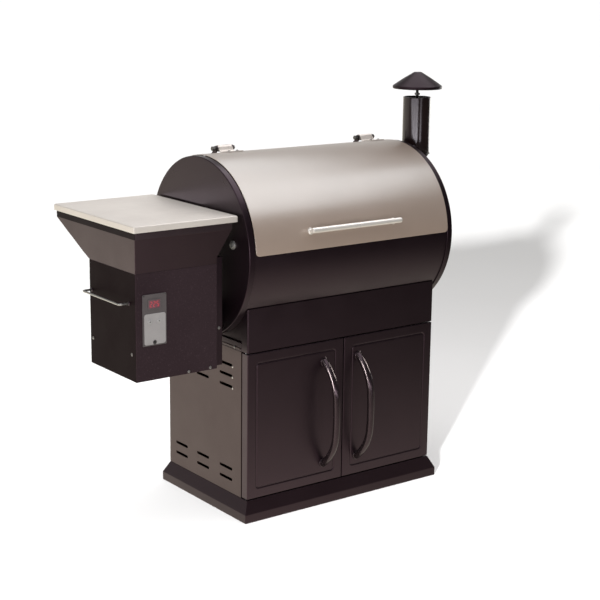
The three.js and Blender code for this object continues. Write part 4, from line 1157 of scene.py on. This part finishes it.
def hopper_funnel():
    """the bin: sloping floor, straight throat, flare, collar, and a hinge lug at the back"""
    def back_at(z):
        """y of the sloping back wall"""
        return COLLAR_Y1 - ((COLLAR_Z0 - z) / (COLLAR_Z0 - 825)) * (COLLAR_Y1 - HY1)

    t = SHEET
    flare_y = back_at(FLARE_Z0)
    cx, cy, cz0, cz1 = COLLAR_X1, COLLAR_Y1, COLLAR_Z0, COLLAR_Z1
    # x0, x1, y0, y1, z, corner radius: up the outside, then down the inside
    rows = [
        (-700, -520, -26, 26, 660, 0.6),
        (HX0 + 3, HX1 - 3, HY0 + 3, HY1 - 3, 815, 0.6),
        (HX0 + 3, HX1 - 3, HY0 + 3, HY1 - 3, HZ1 + 0.3, 0.6),
        (HX0 + 0.6, HX1 - 0.6, HY0 + 0.6, HY1 - 0.6, HZ1 + 0.3, 1.2),
        (HX0, HX1, HY0, HY1 + 0.6, HZ1 + 0.9, 1.4),
        (HX0, HX1, HY0, flare_y - 2, FLARE_Z0 - 1.0, 1.4),
        (HX0, HX1 + 0.7, HY0, flare_y + 2.0, FLARE_Z0 + 1.0, 1.4),
        (HX0, cx - 0.8, HY0, cy - 2.2, cz0 - 1.1, 1.4),
        (HX0, cx, HY0 - 0.9, cy, cz0 + 0.9, 1.4),
        (HX0, cx, HY0 - 0.9, cy, cz1 - 0.5, 1.4),
        (HX0 + 0.5, cx - 0.5, HY0 + 0.5, cy - 0.5, cz1, 1.0),
        (HX0 + t - 0.5, cx - t + 0.5, HY0 + t - 0.5, cy - t + 0.5, cz1, 0.8),
        (HX0 + t, cx - t, HY0 + t, cy - t, cz1 - 0.5, 0.6),
        (HX0 + t, cx - t, HY0 + t, cy - t, cz0 + 1, 0.6),
        (HX0 + t, HX1 - t, HY0 + t, flare_y - t, FLARE_Z0 + 1, 0.6),
        (HX0 + 3 + t, HX1 - 3 - t, HY0 + 3 + t, HY1 - 3 - t, HZ1 + 1, 0.6),
        (HX0 + 3 + t, HX1 - 3 - t, HY0 + 3 + t, HY1 - 3 - t, 816, 0.6),
        (-700 + t, -520 - t, -26 + t, 26 - t, 661, 0.6),
        (-700 + t, -520 - t, -26 + t, 26 - t, 660, 0.6),
    ]
    shape = Shape()
    shape.loft([level(box, 0, z, r, 3) for *box, z, r in rows], closed=True)
    shape.lathe("x", pipe_wall(6, 3.4, -604, -566, 0.5), COVER_PIN, 24)
    shape.rbox(-604, -566, cy - 1, COVER_PIN[1] - 1.5, 938, 943.8, 0.5, 2)
    shape.rbox(-604, -566, 249.2, 258, 938, 946, 0.5, 2)
    funnel = piece("hopper_funnel", shape, [BIN, COLLAR_LEFT_SHADE, COLLAR_FRONT_LIGHT], "body", "hopper_bin",
                   angle=24)
    # painted shade and light: the collar's left-facing faces take a darker copy of the bin's
    # finish, its front faces a lighter one
    for face in funnel.data.polygons:
        if face.center.z > (COLLAR_Z0 + 1.5) * MM:
            if face.normal.x < -0.5:
                face.material_index = 1
            elif face.normal.y < -0.5 and face.center.y < (HY0 + 1) * MM:
                face.material_index = 2


def hopper_cover():
    """a shallow pressed tray with two hinge knuckles"""
    z0, z1, bend = COVER_Z0, COVER_Z1, 3.4
    # distance in, z, corner radius
    rows = [(2.0, z0 + 0.5, 2.4), (1.5, z0, 2.8), (0.5, z0, 3.6), (0, z0 + 0.6, 4.0),
            (0, z1 - bend, 4.0)]
    for k in range(1, 8):
        t = pi / 2 * k / 7
        rows.append((bend - bend * cos(t), z1 - bend + bend * sin(t), 4.0 + 0.4 * k / 7 * 6))
    rows += [(14, z1, 6.0), (70, z1, 6.0)]
    inside = [(2.0, z0 + 0.5, 2.4), (2.0, z1 - 3.0, 2.4), (3.0, z1 - 2.0, 2.4),
              (70, z1 - 2.0, 6.0)]
    shape = Shape()
    for table in (rows, inside):
        shape.loft([level(COVER_BOX, e, z, r, 6) for e, z, r in table], start=False)
    _, pin_y, pin_z = COVER_PIN
    for x0, x1 in ((-650, -605), (-565, -520)):
        shape.lathe("x", pipe_wall(6, 3.4, x0, x1, 0.5), COVER_PIN, 24)
        shape.rbox(x0, x1, COVER_BOX[3] - 1.8, pin_y, pin_z + 3.6, pin_z + 6.0, 0.5, 2)
    piece("hopper_cover_pan", shape, [COVER], "hopper_cover", "hopper_lid",
          angle=28)


def hopper_grip():
    """the carrying handle: a bent rod with washers at the wall"""
    x, y0, y1, z = HX0 - 0.4, -189.5, 27.5, 736
    path = [(x, y0, z), (-786.8, y0, z), (-786.8, y1, z), (x, y1, z)]
    shape = Shape()
    shape.tube(fillet(path, 8.5, 8), 3.2, 20)
    washer = [(0, 0.35), (5.4, 0.35), (5.9, 0.8), (5.6, 1.4), (4.2, 1.9), (3.7, 2.6),
              (0, 2.8)]
    for y in (y0, y1):
        shape.lathe("x", [(r, HX0 - h) for r, h in washer], (0, y, z), 28, 1, closed=False)
    piece("hopper_grip", shape, [GRIP, BLACK], "body", "hopper_handle",
          angle=50)


# ---------------------------------------------------------------- control panel
def front_plate(u, v, w):
    """places a plate upright, w towards the front"""
    return (u, -w, v)


def figure(shape, x, z, lit):
    """a seven-segment figure, its segments lettered as usual"""
    half_w, half_h, t = 7.4 / 2, 15.5 / 2, 1.8
    left, right = (x - half_w, x - half_w + t), (x + half_w - t, x + half_w)
    middle = (x - half_w + t, x + half_w - t)
    upper, lower = (z + t * 0.4, z + half_h - t * 0.4), (z - half_h + t * 0.4, z - t * 0.4)
    bars = {
        "a": (middle, (z + half_h - t, z + half_h)), "g": (middle, (z - t / 2, z + t / 2)),
        "d": (middle, (z - half_h, z - half_h + t)),
        "f": (left, upper), "b": (right, upper), "e": (left, lower), "c": (right, lower),
    }
    for letter in lit:
        across, up = bars[letter]
        shape.rbox(*across, FACE_Y + 0.05, FACE_Y + 0.42, *up, 0.12, 1, mat=3)


def panel_face():
    x0, x1, z0, z1 = BEZEL
    front = -FACE_Y
    holes = [hole(x, z, r + 0.35, 32) for x, z, r, _, _ in KEYS.values()]
    shape = Shape()
    shape.plate(rrect(x0, x1, z0, z1, 3.0, 6), holes, front_plate,
                0.35 - HY0, front - 0.9, 0.35)
    # raised light field with the keys
    field = rrect(x0 + 5, x1 - 3.5, z0 + 3.5, 707, 7.0, 8)
    shape.plate(field, holes, front_plate, front - 0.95, front + 0.05, 0.3, mat=1)
    # display frame and its lens
    display = rrect(-717.5, -673.5, 719.5, 749.5, 2.5, 5)
    window = rrect(-714.5, -676.5, 722.5, 746.5, 1.2, 4)[::-1]
    shape.plate(display, [window], front_plate, front - 0.95, front + 0.6, 0.3)
    lens = rrect(-714.9, -676.1, 722.1, 746.9, 1.2, 4)
    shape.plate(lens, [], front_plate, front - 0.95, front - 0.35, 0.15, mat=2)
    for x, lit in ((-706.5, "abged"), (-695.5, "abged"), (-684.5, "afgcd")):
        figure(shape, x, 734.5, lit)
    # small collars round the keys: radius beyond the key, y from the face
    collar = [(0.5, 0.1), (2.4, 0.1), (2.2, -0.35), (1.2, -0.5), (0.5, -0.3)]
    for x, z, r, _, arrow in KEYS.values():
        shape.lathe("y", [(r + dr, FACE_Y + dy) for dr, dy in collar], (x, 0, z), 36,
                    mat=4 if arrow else 0)
    for x in (x0 + 4, x1 - 4):
        shape.screw((x, FACE_Y + 0.9, z1 - 4), "-y", 1.5, 1.1, mat=5, n=12)
    piece("panel_face", shape, [PANEL, SILVER, LENS, DIGIT, KEY, BOLT], "body",
          "control_bezel", angle=35)


def key_cap(name):
    """a key; all but the power button carry a raised triangle"""
    x, z, r, body, arrow = KEYS[name]
    back, top = HY0 - 2.0, HY0 - 5.3
    if arrow:
        crown = [(r, 1.2), (r - 0.35, 0.45), (r - 1.2, 0.05), (r * 0.55, 0.15), (0, 0.5)]
    else:
        crown = [(r, 1.3), (r - 0.3, 0.5), (r - 1.1, 0.05), (r * 0.5, 0.0), (0, 0.25)]
    profile = [(0, back), (r, back)] + [(radius, top + y) for radius, y in crown]
    shape = Shape()
    shape.lathe("y", profile, (x, 0, z), 40, closed=False)
    if arrow:
        base = z - 1.5 * arrow
        triangle = [(x - 2.3 * arrow, base), (x + 2.3 * arrow, base), (x, z + 2.3 * arrow)]
        shape.plate(triangle, [], front_plate, -(top + 0.6), -(top - 0.05), 0.1, mat=1)
    piece(name + "_cap", shape, [KEY, RUBBER] if arrow else [RUBBER], body, name,
          angle=40)


def board_parts():
    """blocks on the board behind the panel"""
    shape = Shape()
    # x, z, width, height, depth
    for x, z, w, h, d in ((-720, 640, 12, 16, 9), (-700, 642, 16, 12, 6),
                          (-675, 650, 10, 22, 12), (-712, 668, 20, 8, 4),
                          (-690, 700, 24, 14, 5), (-668, 690, 8, 8, 10),
                          (-716, 700, 9, 9, 8)):
        shape.rbox(x - w / 2, x + w / 2, HY0 + 23.8, HY0 + 24 + d, z - h / 2, z + h / 2,
                   0.6, 2)
    piece("board_parts", shape, [DARK_PLASTIC], "body")


# ---------------------------------------------------------------- small parts
def pail_bail():
    """the pail's wire handle, hanging to the left"""
    x = PAIL_X - 6
    turns = [pi * k / 24 for k in range(25)]
    shape = Shape()
    shape.tube([(x - 60 * sin(t) * 0.55, -78.8 * cos(t), 228 - 46 * sin(t)) for t in turns],
               1.7, 10, dome=0.5)
    boss = [(0, 76.6), (5.5, 76.8), (5.5, 78.0), (3.5, 79.4), (0, 79.8)]
    for s in (-1, 1):
        shape.lathe("y", [(r, s * y) for r, y in boss], (x, 0, 226), 20, closed=False)
    piece("pail_bail", shape, [ZINC], "pail")


def hopper_rail():
    """a rail under the barrel at the hopper end, with its screw"""
    line = [(-372.0, 545.0), (-372.0, 541.0), (-366.2, 541.0), (-366.2, 562.2)]
    section = thick(fillet(line, 1.2, 3), 1.8)
    shape = Shape()
    shape.loft([[(x, y, z) for x, z in section] for y in (-186, -185.4, 203.4, 204)])
    shape.screw((-372.0, -157, 543.2), "-x", 3.2, 2.2)
    piece("hopper_rail", shape, [SIDE, DULL], "body", angle=28)


# ---------------------------------------------------------------- stage, metres
def floor_material():
    """plain grey to the camera; every other ray sees a lit patch and a pale sweep"""
    material = bpy.data.materials.new("studio_floor")
    g = Graph(material)
    greys = [(0.3, (0.79, 0.79, 0.79)), (0.7, (0.81, 0.81, 0.81))]
    grey = g.node("BsdfDiffuse", {"Color": g.ramp(g.noise(0.8), greys)})
    lift = g.node("Emission", {"Strength": 0.10})
    seen = g.node("AddShader", {0: grey.outputs[0], 1: lift.outputs[0]})
    # the patch, centred towards the back left: share of 6 m from its centre, brightness
    fall = [(0.0, 1.6), (0.25, 1.55), (0.35, 1.35), (0.433, 0.92), (0.483, 0.76),
            (0.567, 0.58), (0.617, 0.40), (0.70, 0.24), (0.783, 0.12), (1.0, 0.06)]
    x, y, _ = g.xyz("Object")
    dx, dy = g.math("ADD", x, 1.6), g.math("SUBTRACT", y, 1.4)
    square = g.math("ADD", g.math("MULTIPLY", dx, dx), g.math("MULTIPLY", dy, dy))
    reach = g.span(g.math("SQRT", square), (0.0, 6.0), (0.0, 1.0))
    patch = g.ramp(reach, [(p, (v / 2, v / 2, v / 2)) for p, v in fall])
    sweep = g.span(y, (2.2, 3.8), (0.0, 0.36))
    both = g.mix(1.0, patch, sweep, "ADD")
    warm = g.mix(1.0, both, (1.0, 0.94, 0.80), "MULTIPLY")
    # strength 2 makes up for the halved brightness in the ramp
    mirrored = g.node("Emission", {"Strength": 2.0, "Color": warm})
    by_camera = g.node("LightPath").outputs["Is Camera Ray"]
    choice = g.node("MixShader", {0: by_camera, 1: mirrored.outputs[0], 2: seen.outputs[0]})
    g.node("OutputMaterial", {0: choice.outputs[0]})
    return material


def studio_floor():
    """a wide disc just under z = 0, its rings in millimetres"""
    n = 96
    turns = [2 * pi * k / n for k in range(n)]
    shape = Shape()
    shape.loft([[(r * cos(t), r * sin(t), -0.6) for t in turns]
                for r in (0.0, 700.0, 2000.0, 6000.0, 20000.0, 90000.0)],
               start=False, end=False)
    mesh = new_mesh("studio_floor", shape)
    bm = bmesh.new()
    bm.from_mesh(mesh)
    bmesh.ops.remove_doubles(bm, verts=bm.verts, dist=1e-6)
    bmesh.ops.dissolve_degenerate(bm, edges=bm.edges, dist=1e-6)
    for face in bm.faces:
        if face.normal.z < 0:
            face.normal_flip()
    bm.to_mesh(mesh)
    bm.free()
    ob = new_object("studio_floor", mesh)
    mesh.materials.append(floor_material())
    return ob


def studio_world():
    """white to the camera, soft to diffuse rays, a graded room to reflections"""
    world = bpy.data.worlds.new("studio")
    SCENE.world = world
    g = Graph(world)
    x, y, z = g.xyz("Generated")
    # reflections: bright behind, dim on the viewer's side, a glow at the back right
    back = g.span(y, (-0.25, 0.65), (0.08, 0.62))
    back = g.math("MULTIPLY", back, g.span(z, (0.30, 0.56), (1.0, 0.25)))
    above = g.span(z, (0.15, 0.8), (0.0, 0.06))
    towards = g.dot(g.coords("Generated"), (0.66, 0.75, 0.02))
    halo = g.span(towards, (0.72, 1.0), (0.0, 0.25))
    mirrored = g.math("ADD", g.math("ADD", back, above), halo)
    rays = g.node("LightPath").outputs
    camera = g.math("MULTIPLY", rays["Is Camera Ray"], 1.0)
    diffuse = g.math("MULTIPLY", rays["Is Diffuse Ray"], 1.0)

    def choose(mask, inside, outside):
        rest = g.math("MULTIPLY", g.math("SUBTRACT", 1.0, mask), outside)
        return g.math("ADD", g.math("MULTIPLY", mask, inside), rest)

    # diffuse light: 0.55, graded from left to right
    soft = g.span(x, (-1.0, 1.0), (0.55 * 0.62, 0.55 * 1.32))
    strength = choose(diffuse, soft, choose(camera, 1.0, mirrored))
    sky = g.node("Background", {"Strength": strength, "Color": (1.0, 0.985, 0.965)})
    g.node("OutputWorld", {0: sky.outputs[0]})


def aim(ob, direction):
    ob.rotation_mode = "QUATERNION"
    ob.rotation_quaternion = Vector(direction).to_track_quat("-Z", "Y")


def lit_only(ob, receivers):
    group = bpy.data.collections.new(ob.name + "_lit")
    for other in receivers:
        group.objects.link(other)
    ob.light_linking.receiver_collection = group
    return group


def area(name, at, target, size, radiance, colour, onto=(), but=(), sheen=False):
    """a rectangular light; onto or but limit what it lights, sheen hides it from diffuse"""
    light = bpy.data.lights.new(name, "AREA")
    light.shape = "RECTANGLE"
    light.size, light.size_y = size
    light.energy = radiance * 4 * size[0] * size[1]
    light.color = colour
    light.spread = radians(180)
    ob = new_object(name, light)
    ob.location = at
    aim(ob, Vector(target) - Vector(at))
    ob.visible_camera = False
    ob.visible_diffuse = not sheen
    if onto or but:
        group = lit_only(ob, onto or but)
        if but:
            for member in group.collection_objects:
                member.light_linking.link_state = "EXCLUDE"


def around(degrees, z):
    """a place 3 m out, turned from the front; negative is to the left"""
    return (3.0 * sin(radians(degrees)), -3.0 * cos(radians(degrees)), z)


def lights(floor, cap, lid, pulls):
    white, cool = (1.0, 0.985, 1.0), (0.92, 0.97, 1.0)
    # a low strip at the front left, in three panels, and a narrow one in front
    for i, (turn, radiance) in enumerate(((-78, 5.2), (-55, 5.2), (-32, 5.6))):
        area("key_%d" % i, at=around(turn, 0.66), target=(0.2, 0.0, 0.75),
             size=(1.14, 0.46), radiance=radiance, colour=white)
    area("key_front", at=around(3, 0.52), target=(0.3, 0.0, 0.75), size=(0.55, 0.75),
         radiance=3.6, colour=white)
    area("top", at=(0.42, -0.05, 2.5), target=(0.40, -0.05, 1.0), size=(1.9, 2.4),
         radiance=1.85, colour=(0.985, 0.965, 0.975), but=[lid])
    area("lid_front", at=(0.375, -1.05, 2.5), target=(0.355, -1.05, 1.0), size=(1.7, 2.65),
         radiance=2.35, colour=cool, onto=[lid], sheen=True)
    area("lid_back", at=(0.10, 0.65, 2.5), target=(0.08, 0.65, 1.0), size=(1.7, 2.1),
         radiance=1.9, colour=cool, onto=[lid], sheen=True)
    area("top_left", at=(-1.5, -1.0, 2.6), target=(-0.4, 0.0, 0.9), size=(1.3, 1.5),
         radiance=1.6, colour=(0.93, 0.98, 1.0), but=[floor])
    area("right_side", at=(3.2, 0.75, 1.0), target=(0.3, 0.1, 0.8), size=(1.3, 1.5),
         radiance=2.4, colour=(1.0, 0.99, 0.97), but=[lid, floor])
    # streaks on the upper bends of the door pulls
    area("pull_left", at=(-2.4, -0.35, 0.95), target=(0.0, -0.3, 0.4), size=(0.42, 1.2),
         radiance=60.0, colour=(0.90, 1.0, 0.86), onto=pulls, sheen=True)
    area("pull_right", at=(1.95, -0.6, 1.5), target=(0.0, -0.3, 0.4), size=(0.30, 1.0),
         radiance=22.0, colour=(1.0, 0.98, 0.86), onto=pulls, sheen=True)
    # the hopper lid's sheen on the drum's end
    area("lid_sheen", at=(-0.53, 0.10, 0.9665), target=(-0.53, 0.10, 2.0),
         size=(0.28, 0.24), radiance=0.85, colour=(1.0, 0.97, 0.96), onto=[cap], sheen=False)
    # a low sun that only draws the shadow on the floor
    light = bpy.data.lights.new("shadow_sun", "SUN")
    light.energy, light.angle, light.color = 8.5, radians(2.6), (1, 1, 1)
    sun = new_object("shadow_sun", light)
    aim(sun, (0.772, 0.594, -0.239))
    lit_only(sun, [floor])


def camera():
    """from the front left, a little above the barrel"""
    data = bpy.data.cameras.new("view")
    data.sensor_width, data.sensor_fit, data.lens = 36.0, "HORIZONTAL", 86.14
    data.clip_start, data.clip_end = 0.05, 400
    ob = new_object("view", data)
    forward = Vector((0.5826, 0.7801, -0.2279)).normalized()
    right = Vector((0.8028, -0.5961, 0.0119))
    right = (right - forward * right.dot(forward)).normalized()
    turn = Matrix((right, right.cross(forward), -forward)).transposed()
    ob.matrix_world = Matrix.Translation((-2.7424, -3.6624, 1.6821)) @ turn.to_4x4()
    SCENE.camera = ob
    SCENE.view_settings.view_transform = "Standard"
    SCENE.view_settings.look = "None"


# ---------------------------------------------------------------- build
SIDES = (("left", -1), ("right", 1))

for part, (finish, eased) in KEPT.items():
    keep(part, finish, eased)

barrel_skin()
caps = [end_cap(side, sign) for side, sign in SIDES]
probe_gland()
lid_sheet = lid_panel()
lid_handle()
for side, hinge_x in HINGE_X.items():
    hinge_strap(side, hinge_x)
    hinge_ears(side, hinge_x)
    hinge_bolt(side, hinge_x)
cooking_grate()
warming_rack()

flue_pipe()
flue_elbow()
flue_vent()

fascia()
for side, sign in SIDES:
    cabinet_wall(side, sign)
plinth()
door_pulls = []
for (side, sign), pull_x in zip(SIDES, (-78.0, 59.0)):
    door_panel(side, sign)
    door_pulls.append(door_pull(side, pull_x))

hopper_case()
hopper_frame()
hopper_funnel()
hopper_cover()
hopper_grip()
panel_face()
for key in KEYS:
    key_cap(key)
board_parts()
pail_bail()
hopper_rail()

ground = studio_floor()
studio_world()
lights(ground, caps[0], lid_sheet, door_pulls)
camera()
